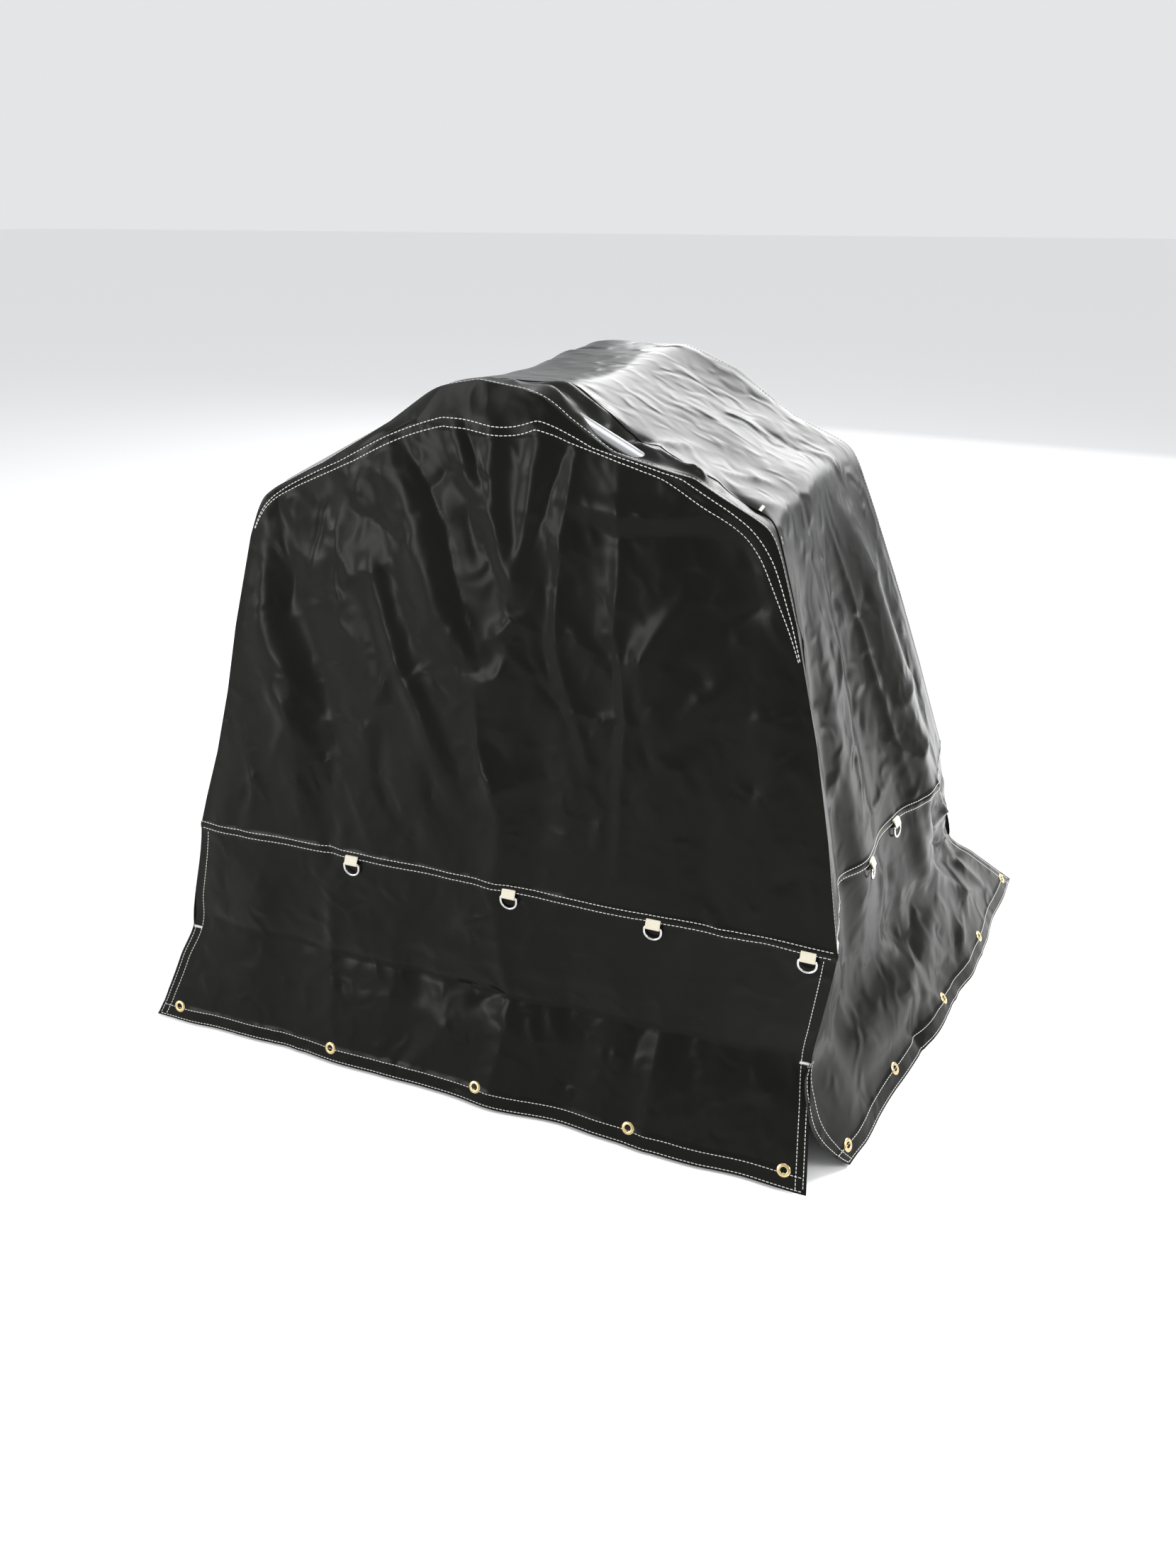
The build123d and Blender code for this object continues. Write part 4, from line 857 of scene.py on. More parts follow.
class CoverShape:
    """Lays out every cut piece of the cover, with folds that meet along the seams."""

    RIGHT_BULGE = ((0.425, 0.009), (0.5, 0.015), (0.6, 0.024), (0.74, 0.031), (0.91, 0.031), (0.99, 0.026),
                   (1.03, 0.019), (1.06, 0.008), (1.1, 0.0))
    LEFT_BULGE = ((0.425, 0.0), (0.48, -0.002), (0.57, -0.008), (0.685, -0.008), (0.80, -0.002),
                  (0.95, -0.002), (1.03, -0.012), (1.08, 0.0))
    EDGE_DIP = ((-0.43, 0.0), (-0.386, -0.010), (-0.286, -0.018), (-0.162, -0.012), (-0.08, 0.002),
                (-0.018, 0.013), (0.053, 0.003), (0.118, -0.015), (0.188, -0.021), (0.245, -0.004),
                (0.301, 0.013), (0.394, 0.006), (0.43, 0.0))
    CORNER_PUSH = 0.009        # the front right corner leans out at the seam
    PUSH_REACH = 0.045
    PUSH_RISE = 0.05
    LEFT_PUSH = -0.026         # the front left corner leans out at the slit
    LEFT_REACH = 0.10
    TUCK = (-0.026, -0.040)    # the side flap's front edge lies behind the front flap
    TUCK_REACH = 0.055
    TUCK_POWER = 0.8
    RIGHT_INSET = 0.007        # the right slope's turned edge is narrower
    RIGHT_INSET_OVER = 0.12
    TURNED_FROM = (0.95, 0.84)  # the turned edge shows above these heights, left and right
    TURNED_RISE = 0.08
    TURNED_EDGE = 0.002
    CROWN_DROP, CROWN_HALF = 0.030, 0.13
    LEAN_COS = 0.93            # an end panel's slanted edges, measured square to them
    RISE_PAST = 0.008
    END_REACH = 0.07           # how far an edge's bulge carries into an end panel
    EDGE_REACH = 0.11          # how far the edges' shape carries along the arch
    BULGE_PAST = 0.06          # how far over the shoulder the bulge goes
    REAR_BULGE, REAR_DIP, DIP_TURN = 0.5, 0.6, 0.09   # the rear edge as shares of the front's
    BEND_DEPTH = 0.05
    SAG, SAG_HALF = 0.010, 0.30
    SIDE_BLEND = 0.15          # height over which the arch's folds turn from level to square
    SOFT_FROM = 0.12           # height over which the bends' softening starts
    ROOF_BLEND, ROOF_START = 0.10, 0.01
    CORNER_SOFT = 0.018
    LAP = 0.0012               # the gusset lies this far under the main band
    LAP_WIDTH = 0.02
    SLIT_FADE = 0.09
    SLIT_BEND = 0.34           # share of a skirt over which it bends at the slits' tops
    HEM_WAVE = 0.0022
    HEM_WAVES = ((21, 1.3, 1.0), (37, 0.4, 0.6))      # waves per metre, start, share
    HEM_WAVE_FADE, HEM_WAVE_POWER = 0.2, 1.5
    FLOOR_CLEAR = 0.0015
    CUT_NEAR, SLOT_WIDEST = 0.003, 0.1
    SEEDS = {Side.FRONT: 11, Side.RIGHT: 12, Side.REAR: 13, Side.LEFT: 14}
    FOLDS = {
        Side.FRONT: FRONT_FOLDS + FRONT_CREASES,
        Side.RIGHT: RIGHT_FOLDS + RIGHT_CREASES,
        Side.REAR: REAR_FOLDS + REAR_CREASES,
        Side.LEFT: LEFT_FOLDS + LEFT_CREASES,
    }
    FRONT_CRUMPLE, CRUMPLE, ROOF_CRUMPLE = 0.0011, 0.0013, 0.0008
    ROOF_SEED = 15

    def __init__(self, sizes: ClothSizes, edges: CoverEdges) -> None:
        self.sizes, self.edges = sizes, edges
        self.fields = {
            side: FoldField(folds, self.SEEDS[side],
                            self.FRONT_CRUMPLE if side is Side.FRONT else self.CRUMPLE)
            for side, folds in self.FOLDS.items()
        }
        self.roof_field = FoldField(ROOF_FOLDS + ROOF_CREASES, self.ROOF_SEED, self.ROOF_CRUMPLE)
        seam = edges.lines[Side.RIGHT][2]
        lengths = np.linalg.norm(np.diff(seam, axis=0), axis=1)
        stations = np.concatenate([[0], np.cumsum(lengths)])
        self.gusset_end = float(stations[1])
        even = graded(float(stations[-1]), sizes.step, [])
        self.side_cols = np.array(sorted({*even, self.gusset_end}))
        self.station_at = np.interp(self.side_cols, stations, np.arange(len(stations)))
        self.spread = self.CORNER_SOFT / sizes.step
        self.side_lines = {side: [self._sample(line) for line in edges.lines[side]]
                           for side in (Side.RIGHT, Side.LEFT)}
        self.arch_base, self.top_row, middle = self._arch_base()
        self.arch_points = self._arch_edges(self._arch_folds(middle))
        lengths = np.linalg.norm(np.diff(self.arch_base[:, 0], axis=0), axis=-1)
        self.arch_rows = np.concatenate([[0], np.cumsum(lengths)])

    def _sample(self, line: Points) -> Points:
        """A side's line at every column, its corners softened."""
        index = np.arange(len(line))
        raw = np.stack([np.interp(self.station_at, index, line[:, k]) for k in range(3)], -1)
        return blur(raw[None], self.spread, 1)[0]

    def _outward(self, side: Side) -> Points:
        """The level direction away from a side, at every column."""
        line = self.side_lines[side][2]
        run = np.gradient(line, axis=0)
        sign = 1.0 if side is Side.RIGHT else -1.0
        return unit(np.stack([sign * run[:, 1], -sign * run[:, 0], 0 * run[:, 0]], -1))

    def _ring_fade(self, points: Points) -> np.ndarray:
        """0 at the D-rings' bars, rising to 1 away from them."""
        fade = np.ones(points.shape[:-1])
        for ring in self.edges.rings:
            gap = np.linalg.norm(points - ring, axis=-1)
            fade *= 1 - np.exp(-(gap / self.sizes.ring_fade) ** 2)
        return fade

    def _corner_fade(self, cols: np.ndarray, up: np.ndarray) -> np.ndarray:
        """0 at the sewn corners, rising to 1 away from them and below the slits."""
        gap = np.minimum(cols, cols[-1] - cols)[None]
        sewn = smooth(gap / self.sizes.corner_fade)
        return np.maximum(sewn, smooth((self.edges.slit - up) / self.SLIT_FADE))

    def _seam_band(self, up: np.ndarray) -> np.ndarray:
        """Height of the folded seam that carries the rings."""
        gap = np.abs(up - self.edges.seam)
        return self.sizes.seam_rise * smooth((self.sizes.seam_half + PAIR_HALF - gap) / (2 * PAIR_HALF))

    def _arch_base(self) -> tuple[Points, int, int]:
        """Lays the long piece over the roof, from the right seam to the left one.

        Returns:
            Its points without folds, the row where its flat top starts, and its middle row.
        """
        step = self.sizes.step
        right, left = self.side_lines[Side.RIGHT], self.side_lines[Side.LEFT]
        side_height = self.edges.shoulder - self.edges.seam
        side = graded(side_height, step, [self.sizes.seam_half]) / side_height
        slope = steps(float(np.linalg.norm(right[4][0] - right[3][0])), step)
        flat = steps(float(np.linalg.norm(right[4][0] - left[4][0])), step)
        runs = ((right[2], right[3], side), (right[3], right[4], slope[1:]), (right[4], left[4], flat[1:]),
                (left[4], left[3], slope[1:]), (left[3], left[2], 1 - side[::-1][1:]))
        base = np.array([start * (1 - t) + end * t for start, end, shares in runs for t in shares])
        soft = blur(base, self.sizes.edge_radius / step, 0)
        keep = smooth((base[..., 2:] - self.edges.seam) / self.SOFT_FROM)
        top_row = len(side) + len(slope) - 2
        return base * (1 - keep) + soft * keep, top_row, top_row + 1 + (len(flat) - 1) // 2

    def _arch_folds(self, middle: int) -> Points:
        """The arch with its folds.

        Args:
            middle: the row where the right side's folds give way to the left side's.

        Returns:
            Its points.
        """
        base = self.arch_base
        normal = unit(np.cross(np.gradient(base, axis=1), np.gradient(base, axis=0)))
        normal *= np.sign((normal * (base - self.edges.inside)).sum(-1, keepdims=True))
        up, across = base[..., 2], base[..., 1] - self.edges.axle_y
        height = np.zeros_like(up)
        side_share = smooth((self.edges.shoulder - self.ROOF_START - up) / self.ROOF_BLEND)
        for part, name in ((slice(0, middle), Side.RIGHT), (slice(middle, None), Side.LEFT)):
            lift = self.fields[name](across[part], up[part])
            top = self.roof_field(across[part], base[part][..., 0])
            share = side_share[part]
            height[part] = lift * share + top * (1 - share)
            mix = smooth((up[part] - self.edges.seam) / self.SIDE_BLEND)[..., None]
            normal[part] = unit(self._outward(name)[None] * (1 - mix) + normal[part] * mix)
        gap = np.minimum(self.side_cols, self.side_cols[-1] - self.side_cols)[None]
        fade = smooth(gap / self.sizes.corner_fade)
        height = height * fade * self._ring_fade(base) + self._seam_band(up)
        return base + normal * height[..., None]

    def _arch_edges(self, points: Points) -> Points:
        """The arch with its upright edges bulged, its roof edges dipped and its middle sagged."""
        base, cols = self.arch_base, self.side_cols
        x, z = base[..., 0], base[..., 2]
        near_seam = np.exp(-(z - self.edges.seam) / self.PUSH_RISE)
        decay = np.exp(-cols[None] / (self.EDGE_REACH - (self.EDGE_REACH - self.PUSH_REACH) * near_seam))
        tail = np.exp(-((cols[-1] - cols) / self.EDGE_REACH))[None]
        below = z < self.edges.shoulder + self.BULGE_PAST
        bulge = np.where(x > 0, self._table(self.RIGHT_BULGE, z), self._table(self.LEFT_BULGE, z))
        points[..., 0] += np.where(below, np.sign(x) * bulge * (decay + self.REAR_BULGE * tail), 0)
        over = smooth((z - self.edges.shoulder + self.BEND_DEPTH) / self.BEND_DEPTH)
        rear = self.REAR_DIP * tail * np.tanh(x / self.DIP_TURN)
        points[..., 2] += over * self._table(self.EDGE_DIP, x) * (decay - rear)
        inside = np.clip(1 - ((base[..., 1] - self.edges.axle_y) / self.SAG_HALF) ** 2, 0, 1)
        points[..., 2] -= self.SAG * inside * smooth((z - self.edges.shoulder) / self.BEND_DEPTH)
        return points

    def _cloth(self, name: str, *grid: Points) -> Cloth:
        """A cut piece of this cover, from its name and the rest of what Cloth takes."""
        return Cloth(name, self.edges.inside, *grid)

    @classmethod
    def crown_drop(cls, x: np.ndarray) -> np.ndarray:
        """How much deeper the turned edge is under the flat top than down the slopes."""
        return cls.CROWN_DROP * np.exp(-(x / cls.CROWN_HALF) ** 2)

    @staticmethod
    def _table(pairs: Sequence, value: np.ndarray) -> np.ndarray:
        """A value read off pairs of (place, amount)."""
        places, amounts = zip(*pairs)
        return np.interp(value, places, amounts)

    def arch_pieces(self) -> list[Cloth]:
        """The front gusset and the main band, which laps over it."""
        split = int(np.searchsorted(self.side_cols, self.gusset_end))
        gusset, band = (
            self._cloth(name, self.arch_base[:, part], self.arch_points[:, part], self.arch_rows,
                        self.side_cols[part])
            for name, part in (("cloth_front_gusset", slice(0, split + 2)),
                               ("cloth_main_band", slice(split, None))))
        under = smooth((gusset.cols - self.gusset_end + self.LAP_WIDTH) / self.LAP_WIDTH)[None, :, None]
        gusset.points = gusset.points - gusset.normals * self.LAP * under
        return [gusset, band]

    def end_panel(self, side: Side) -> Cloth:
        """The upright panel at one end."""
        col = 0 if side is Side.FRONT else -1
        base_edge, edge = self.arch_base[:, col], self.arch_points[:, col]
        last = self.top_row
        count = len(self.arch_rows)
        right_b, left_b = base_edge[:last + 1], base_edge[count - 1 - last:][::-1]
        right_e, left_e = edge[:last + 1], edge[count - 1 - last:][::-1]
        share = steps(float(right_b[0, 0] - left_b[0, 0]), self.sizes.step)
        f = share[None, :, None]
        base = left_b[:, None] * (1 - f) + right_b[:, None] * f
        flat_b, flat_e = base_edge[last:count - last][::-1], edge[last:count - last][::-1]
        along = np.linspace(0, 1, len(flat_b))
        top_off = np.stack([np.interp(share, along, (flat_e - flat_b)[:, k]) for k in range(3)], -1)
        top_b = np.stack([np.interp(share, along, flat_b[:, k]) for k in range(3)], -1)
        base[-1] = top_b
        sign = -1.0 if side is Side.FRONT else 1.0
        width = (right_b[:, 0] - left_b[:, 0])[:, None]
        gap = np.minimum(share, 1 - share)[None] * width
        rise = (base[-1:, :, 2] - base[..., 2])
        x, z = base[..., 0], base[..., 2]
        border = np.minimum(gap * self.LEAN_COS, rise) - self.crown_drop(x)
        fade = smooth(np.minimum(gap, rise + self.RISE_PAST) / self.sizes.corner_fade)
        lift = self.fields[side](x, z) * fade * self._ring_fade(base) + self._seam_band(z)
        inner = (self.sizes.border + self.TURNED_EDGE - border) / (2 * self.TURNED_EDGE)
        turned = self.sizes.border_rise * smooth(inner)
        lift += turned * smooth((z - np.where(x < 0, *self.TURNED_FROM)) / self.TURNED_RISE)
        points = base.copy()
        points[..., 1] += sign * lift
        wl = np.exp(-(share[None] * width / self.END_REACH))[..., None]
        wr = np.exp(-((1 - share[None]) * width / self.END_REACH))[..., None]
        wt = np.exp(-(rise / self.END_REACH))[..., None]
        off_l, off_r = (left_e - left_b)[:, None], (right_e - right_b)[:, None]
        total = np.maximum(wl + wr, 1.0)
        sides = (wl * off_l + wr * off_r) / total
        corner_line = off_l[-1] * (1 - f[0]) + off_r[-1] * f[0]
        points += sides * (1 - wt) + wt * (top_off[None] - corner_line[None]) + wt * (
            off_l * (1 - f) + off_r * f)
        points[:, 0], points[:, -1] = left_e, right_e
        return self._cloth(f"cloth_{side.value}_panel", base, points, base[:, 0, 2], share)

    def end_skirt(self, side: Side) -> Cloth:
        """The skirt under an end panel."""
        lines = self.edges.lines[side]
        ends = [(line[0], line[-1]) for line in lines]
        width = float(ends[0][1][0] - ends[0][0][0])
        share = steps(width, self.sizes.step)
        if side is Side.REAR:
            cut = 0.5 + np.array([-1, 1]) * self.sizes.slot_half / width
            clear = np.abs(np.abs(share - 0.5) - cut[1] + 0.5) > self.CUT_NEAR
            share = np.array(sorted({*share[clear], *cut}))
        rows_at = [[a * (1 - t) + b * t for t in share] for a, b in ends]
        return self._skirt(side, np.array(rows_at), share * width,
                           np.tile([0.0, -1.0 if side is Side.FRONT else 1.0, 0.0], (len(share), 1)))

    def side_skirt(self, side: Side) -> Cloth:
        """The skirt under a side of the arch."""
        lines = self.side_lines[side]
        return self._skirt(side, np.array([lines[2], lines[1], lines[0]]), self.side_cols,
                           self._outward(side))

    def _skirt(self, side: Side, levels: Points, cols: np.ndarray, outward: Points) -> Cloth:
        """A skirt through its seam, slit and hem lines."""
        s, e = self.sizes, self.edges
        drop = e.seam - e.hem
        marks = [s.seam_half, drop - s.hem_depth]
        if side is Side.REAR:
            marks.append(e.seam - s.slot_top)
        down = graded(drop, s.step, marks)
        at_slit = (e.seam - e.slit) / drop
        t = (down / drop)[:, None, None]
        upper = levels[0][None] * (1 - t / at_slit) + levels[1][None] * (t / at_slit)
        low_t = (t - at_slit) / (1 - at_slit)
        lower = levels[1][None] * (1 - low_t) + levels[2][None] * low_t
        bend = smooth((t - at_slit) / self.SLIT_BEND + 0.5)
        base = upper * (1 - bend) + lower * bend
        base[0] = levels[0]
        up = base[..., 2]
        along = base[..., 0] if side in (Side.FRONT, Side.REAR) else base[..., 1] - e.axle_y
        fade = self._corner_fade(cols, up) * self._ring_fade(base)
        lift = self.fields[side](along, up) * fade + self._seam_band(up)
        lift += s.hem_rise * smooth((e.hem + s.hem_depth - up) / (2 * PAIR_HALF) + 0.5)
        wave = sum(share * np.sin(along * waves + start) for waves, start, share in self.HEM_WAVES)
        lift += self.HEM_WAVE * wave * smooth((e.slit - up) / self.HEM_WAVE_FADE) ** self.HEM_WAVE_POWER
        points = base + outward[None] * lift[..., None]
        self._push_corners(side, points, up, cols)
        points[..., 2] = np.maximum(points[..., 2], self.FLOOR_CLEAR)
        hole = np.zeros((len(down) - 1, len(cols) - 1), bool)
        if side is Side.REAR:
            x = (base[:-1, :-1, 0] + base[:-1, 1:, 0]) / 2
            z = (up[:-1, :-1] + up[1:, :-1]) / 2
            middle = (cols[:-1] + cols[1:]) / 2 - cols[-1] / 2
            hole = (np.abs(middle)[None] < s.slot_half) & (z < s.slot_top)
            hole &= np.abs(x) < self.SLOT_WIDEST
        return self._cloth(f"cloth_skirt_{side.value}", base, points, down, cols, hole)

    def _push_corners(self, side: Side, points: Points, up: np.ndarray, cols: np.ndarray) -> None:
        """Leans a skirt's front corners out, and tucks the right flap behind the front one.

        Args:
            side: the skirt's side.
            points: the skirt's points, which are changed.
            up: the height of each point before its folds.
            cols: each column's measure.
        """
        e = self.edges
        if side in (Side.FRONT, Side.RIGHT):
            gap = cols[None] if side is Side.RIGHT else cols[-1] - cols[None]
            sewn = smooth((up - e.slit) / (e.seam - e.slit))
            points[..., 0] += self.CORNER_PUSH * sewn * np.exp(-gap / self.PUSH_REACH)
        if side in (Side.FRONT, Side.LEFT):
            span = np.where(up > e.slit, e.seam - e.slit, e.slit - e.hem)
            swell = smooth(1 - np.abs(up - e.slit) / span)
            points[..., 0] += self.LEFT_PUSH * swell * np.exp(-cols[None] / self.LEFT_REACH)
        if side is Side.RIGHT:
            below = np.clip((e.slit - up) / (e.slit - e.hem), 0, 1)
            tuck = np.sin(np.pi * below) ** self.TUCK_POWER * np.exp(-cols[None] / self.TUCK_REACH)
            for k, push in enumerate(self.TUCK):
                points[..., k] += push * tuck


# ------------------------------------------------------------------- thread
class Thread:
    """Rows of stitches sewn through one cloth piece."""

    SIDES = 6
    RINGS = ((-1.0, 0.35), (-0.82, 0.85), (0.0, 1.0), (0.82, 0.85), (1.0, 0.35))
    SHARP = 80.0
    RAISED = 0.4               # how much of its radius a stitch stands out

    def __init__(self, cloth: Cloth, sizes: StitchSizes) -> None:
        self.cloth, self.sizes = cloth, sizes
        self.points: list[Points] = []
        self.faces: list[np.ndarray] = []
        self.count = 0
        self.unit_points, self.unit_faces = self._capsule()

    def _capsule(self) -> tuple[Points, np.ndarray]:
        """One stitch along X, with rounded ends."""
        turn = np.arange(self.SIDES) * 2 * math.pi / self.SIDES
        points = [(x, r * math.cos(a), r * math.sin(a)) for x, r in self.RINGS for a in turn]
        return np.array(points), np.array(tube_faces(len(self.RINGS), self.SIDES))

    def sew(self, rows: np.ndarray, cols: np.ndarray) -> None:
        """Sews one row of stitches along a path in the piece's own measures."""
        rows, cols = np.broadcast_arrays(np.asarray(rows, float), np.asarray(cols, float))
        places, _ = self.cloth.place(rows, cols)
        reach = np.concatenate([[0], np.cumsum(np.linalg.norm(np.diff(places, axis=0), axis=1))])
        at = np.arange(self.sizes.pitch / 2, reach[-1] - self.sizes.pitch / 2, self.sizes.pitch)
        half = self.sizes.length / 2
        ends = []
        for shift in (-half, 0, half):
            r = np.interp(at + shift, reach, rows)
            c = np.interp(at + shift, reach, cols)
            ends.append(self.cloth.place(r, c))
        way = unit(ends[2][0] - ends[0][0])
        normal = ends[1][1]
        middle = (ends[0][0] + 2 * ends[1][0] + ends[2][0]) / 4
        middle = middle + normal * (self.sizes.radius * self.RAISED - self.sizes.sunk)
        across = unit(np.cross(normal, way))
        normal = np.cross(way, across)
        u, r = self.unit_points, self.sizes.radius
        for m, w, a, n in zip(middle, way, across, normal):
            self.points.append(m + u[:, :1] * w * half + u[:, 1:2] * a * r + u[:, 2:] * n * r)
            self.faces.append(self.unit_faces + self.count)
            self.count += len(u)

    def build(self, name: str) -> bpy.types.Object:
        """Makes the thread of this piece of cloth."""
        return make_mesh(name, np.concatenate(self.points), np.concatenate(self.faces), self.SHARP)


# -------------------------------------------------------------------- cover
class Cover:
    """The whole soft cover: cloth, thread, tabs, grommets and bar tacks."""

    BODY = "cover"
    RESTS = ("cover_bow_front", "cover_bow_rear", "spreader_bars")

    INSET = 0.005              # from a panel's cut edge to its stitches
    SHORT = 0.004              # the stitches end this far from a hem or a slit's top
    HEM_SEAM = 0.003           # from the hem's fold to its upper stitches
    TURNED = 0.011             # between a slit edge's two rows
    FLAP_TOP = 0.012           # where the front skirt's inner rows start below its seam
    WOBBLE = (0.0022, 46, 0.35)   # height, waves per metre and half width of the edge's wobble
    INSET_RISE = 0.16          # height over which the turned edge gets its full depth

    def __init__(self, paint: Paint) -> None:
        self.paint = paint
        self.sizes = ClothSizes()
        self.stitch = StitchSizes()
        self.edges = CoverEdges()
        self.shape = CoverShape(self.sizes, self.edges)
        self.pieces: dict[str, Cloth] = {}

    def build(self) -> None:
        """Makes every piece of the cover."""
        for piece in self.shape.arch_pieces():
            self.pieces[piece.name] = piece
        for side in (Side.FRONT, Side.REAR):
            for piece in (self.shape.end_panel(side), self.shape.end_skirt(side)):
                self.pieces[piece.name] = piece
        for side in (Side.LEFT, Side.RIGHT):
            piece = self.shape.side_skirt(side)
            self.pieces[piece.name] = piece
        for piece in self.pieces.values():
            self._place(piece)
        RingTabs(self.paint).build()
        HemGrommets(self.paint, self.pieces).build()
        BarTacks(self.paint, self.pieces, self.edges, self.shape.gusset_end).build()

    def _place(self, piece: Cloth) -> None:
        """Puts one cut piece and its thread in the scene."""
        obj = self.paint.put(piece.build(self.sizes), "cover_vinyl")
        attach(obj, self.BODY)
        upper = "skirt" not in piece.name
        node = piece.name.replace("cloth_", "cover_" if upper else "")
        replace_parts(obj, node)
        thread = Thread(piece, self.stitch)
        self._sew(piece, thread)
        sewn = self.paint.put(thread.build(piece.name.replace("cloth", "thread")), "white_thread")
        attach(sewn, self.BODY)

    def _sew(self, piece: Cloth, thread: Thread) -> None:
        """Sews the rows of stitches that a piece carries."""
        band = self.sizes.seam_half - 0.0012
        many = 400
        cols = np.linspace(piece.cols[0] + 0.002 * (piece.cols[-1] > 2), piece.cols[-1], many)
        if "skirt" in piece.name:
            self._sew_skirt(piece, thread, cols, band)
        elif "panel" in piece.name:
            thread.sew(self.edges.seam + band, cols)
            for inset in (self.sizes.border - 0.016, self.sizes.border - 0.004):
                thread.sew(*self._inset_path(piece, inset))
        else:
            last = piece.rows[-1]
            for row in (band, last - band):
                thread.sew(row, np.linspace(piece.cols[0], piece.cols[-1], many))
            edge = 0.006
            rows = np.linspace(0.01, last - 0.01, 900)
            if piece.name.endswith("gusset"):
                thread.sew(rows, piece.cols[0] + edge)
            else:
                thread.sew(rows, piece.cols[-1] - edge)
                thread.sew(np.linspace(0.59, 0.605, 8), piece.cols[0] + edge)

    def _sew_skirt(self, piece: Cloth, thread: Thread, cols: np.ndarray, band: float) -> None:
        """Sews a skirt's seam, hem and slit edges."""
        drop = piece.rows[-1]
        slit = self.edges.seam - self.edges.slit
        middle = piece.cols[-1] / 2
        cut = self.sizes.slot_half
        inset, end = self.INSET, drop - self.SHORT
        for row in (band, drop - self.sizes.hem_depth + self.HEM_SEAM, end):
            open_here = piece.hole.any() and row > self.edges.seam - self.sizes.slot_top
            spans = [(cols[0] + inset, cols[-1] - inset)]
            if open_here:
                spans = [(cols[0] + inset, middle - cut - inset), (middle + cut + inset, cols[-1] - inset)]
            for span in spans:
                thread.sew(row, np.linspace(*span, 300))
        for col in (cols[0] + inset, cols[-1] - inset):
            for side_step in (0.0, self.TURNED):
                shift = side_step if col < middle else -side_step
                top = self.FLAP_TOP if side_step and "front" in piece.name else slit + self.SHORT
                thread.sew(np.linspace(top, end, 90), col + shift)
        if piece.hole.any():
            for col in (middle - cut - inset, middle + cut + inset):
                slot = self.edges.seam - self.sizes.slot_top + self.SHORT
                thread.sew(np.linspace(slot, end, 60), col)

    @staticmethod
    def _inset_path(piece: Cloth, inset: float) -> tuple[np.ndarray, np.ndarray]:
        """A path inside an end panel, level with its edge."""
        left, right = piece.base[:, 0], piece.base[:, -1]
        top = piece.base[-1]
        edge = np.concatenate([left[:-1], top, right[::-1][1:]])[:, [0, 2]]
        run = np.gradient(blur(edge[None], 3.0, 1)[0], axis=0)
        inward = unit(np.stack([run[:, 1], -run[:, 0]], -1))
        across, up = edge[:, :1], edge[:, 1:]
        lowest = np.where(across < 0, *CoverShape.TURNED_FROM)
        side_inset = inset - CoverShape.RIGHT_INSET * smooth(across / CoverShape.RIGHT_INSET_OVER)
        height, waves, half = Cover.WOBBLE
        wobble = height * np.sin(across * waves) * np.exp(-(across / half) ** 2)
        depth = side_inset + CoverShape.crown_drop(across) + wobble
        depth = depth * smooth((up - lowest) / Cover.INSET_RISE)
        path = blur((edge + inward * (depth + 0.002))[None], 5.0, 1)[0]
        path = path[path[:, 1] > np.where(path[:, 0] < 0, *CoverShape.TURNED_FROM) + 0.01]
        x_left = np.interp(path[:, 1], left[:, 2], left[:, 0])
        x_right = np.interp(path[:, 1], right[:, 2], right[:, 0])
        return path[:, 1], (path[:, 0] - x_left) / (x_right - x_left)


class RingTabs:
    """The webbing loops that hold the D-rings' bars to the seam."""

    SHARES = (-1.0, -0.94, -0.3, 0.3, 0.94, 1.0)   # stations across a tab, its edges rounded
    EDGE_SQUEEZE = 0.93
    WRAP = (0.6, -1.9)         # where the webbing meets and leaves the bar, in radians
    WRAP_POINTS = 8
    SHARP = 40.0

    def __init__(self, paint: Paint) -> None:
        self.paint, self.sizes = paint, TabSizes()

    def build(self) -> None:
        """Makes all the tabs as one piece."""
        points, faces = [], []
        for joint in frame["joints"]:
            if not joint["child"].startswith("ring_"):
                continue
            made, sides = self._tab(Vector(joint["pos_m"]), Vector(joint["axis"]))
            faces += [tuple(i + len(points) for i in f) for f in sides]
            points += made
        obj = make_mesh("webbing_tabs", np.array(points), faces, self.SHARP)
        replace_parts(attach(self.paint.put(obj, "tab_webbing"), Cover.BODY), "ring_tabs")

    def _tab(self, bar: Vector, axis: Vector) -> tuple[list, list]:
        """One loop: down over the bar and back to the cloth."""
        s = self.sizes
        out = -axis.cross(Vector((0, 0, 1))).normalized()
        r, t, stand = s.bar_radius, s.sheet, s.stand
        turn = np.linspace(*self.WRAP, self.WRAP_POINTS)
        outer = [(-stand, s.rise + 0.001), (-stand * 0.35, s.rise + 0.0006), (0.0005, s.rise * 0.62)]
        outer += [((r + t) * math.cos(a), (r + t) * math.sin(a)) for a in turn]
        outer += [(-stand, -s.foot)]
        inner = [(-stand, -s.foot + t)]
        inner += [(r * math.cos(a), r * math.sin(a)) for a in turn[::-1]]
        inner += [(-0.0008, s.rise * 0.55), (-stand * 0.6, s.rise - t), (-stand, s.rise - t)]
        profile = outer + inner
        points = []
        for share in self.SHARES:
            squeeze = self.EDGE_SQUEEZE if abs(share) == 1 else 1.0
            for n, z in profile:
                points.append(bar + axis * (share * s.width / 2) + out * (n * squeeze)
                              + Vector((0, 0, z * squeeze)))
        count = len(profile)
        faces = tube_faces(len(self.SHARES), count)
        for first, flip in ((0, False), ((len(self.SHARES) - 1) * count, True)):
            for i in range(len(outer) - 1):
                last = first + count - 1 - i
                face = (first + i, first + i + 1, last - 1, last)
                faces.append(face[::-1] if flip else face)
        return [tuple(p) for p in points], faces


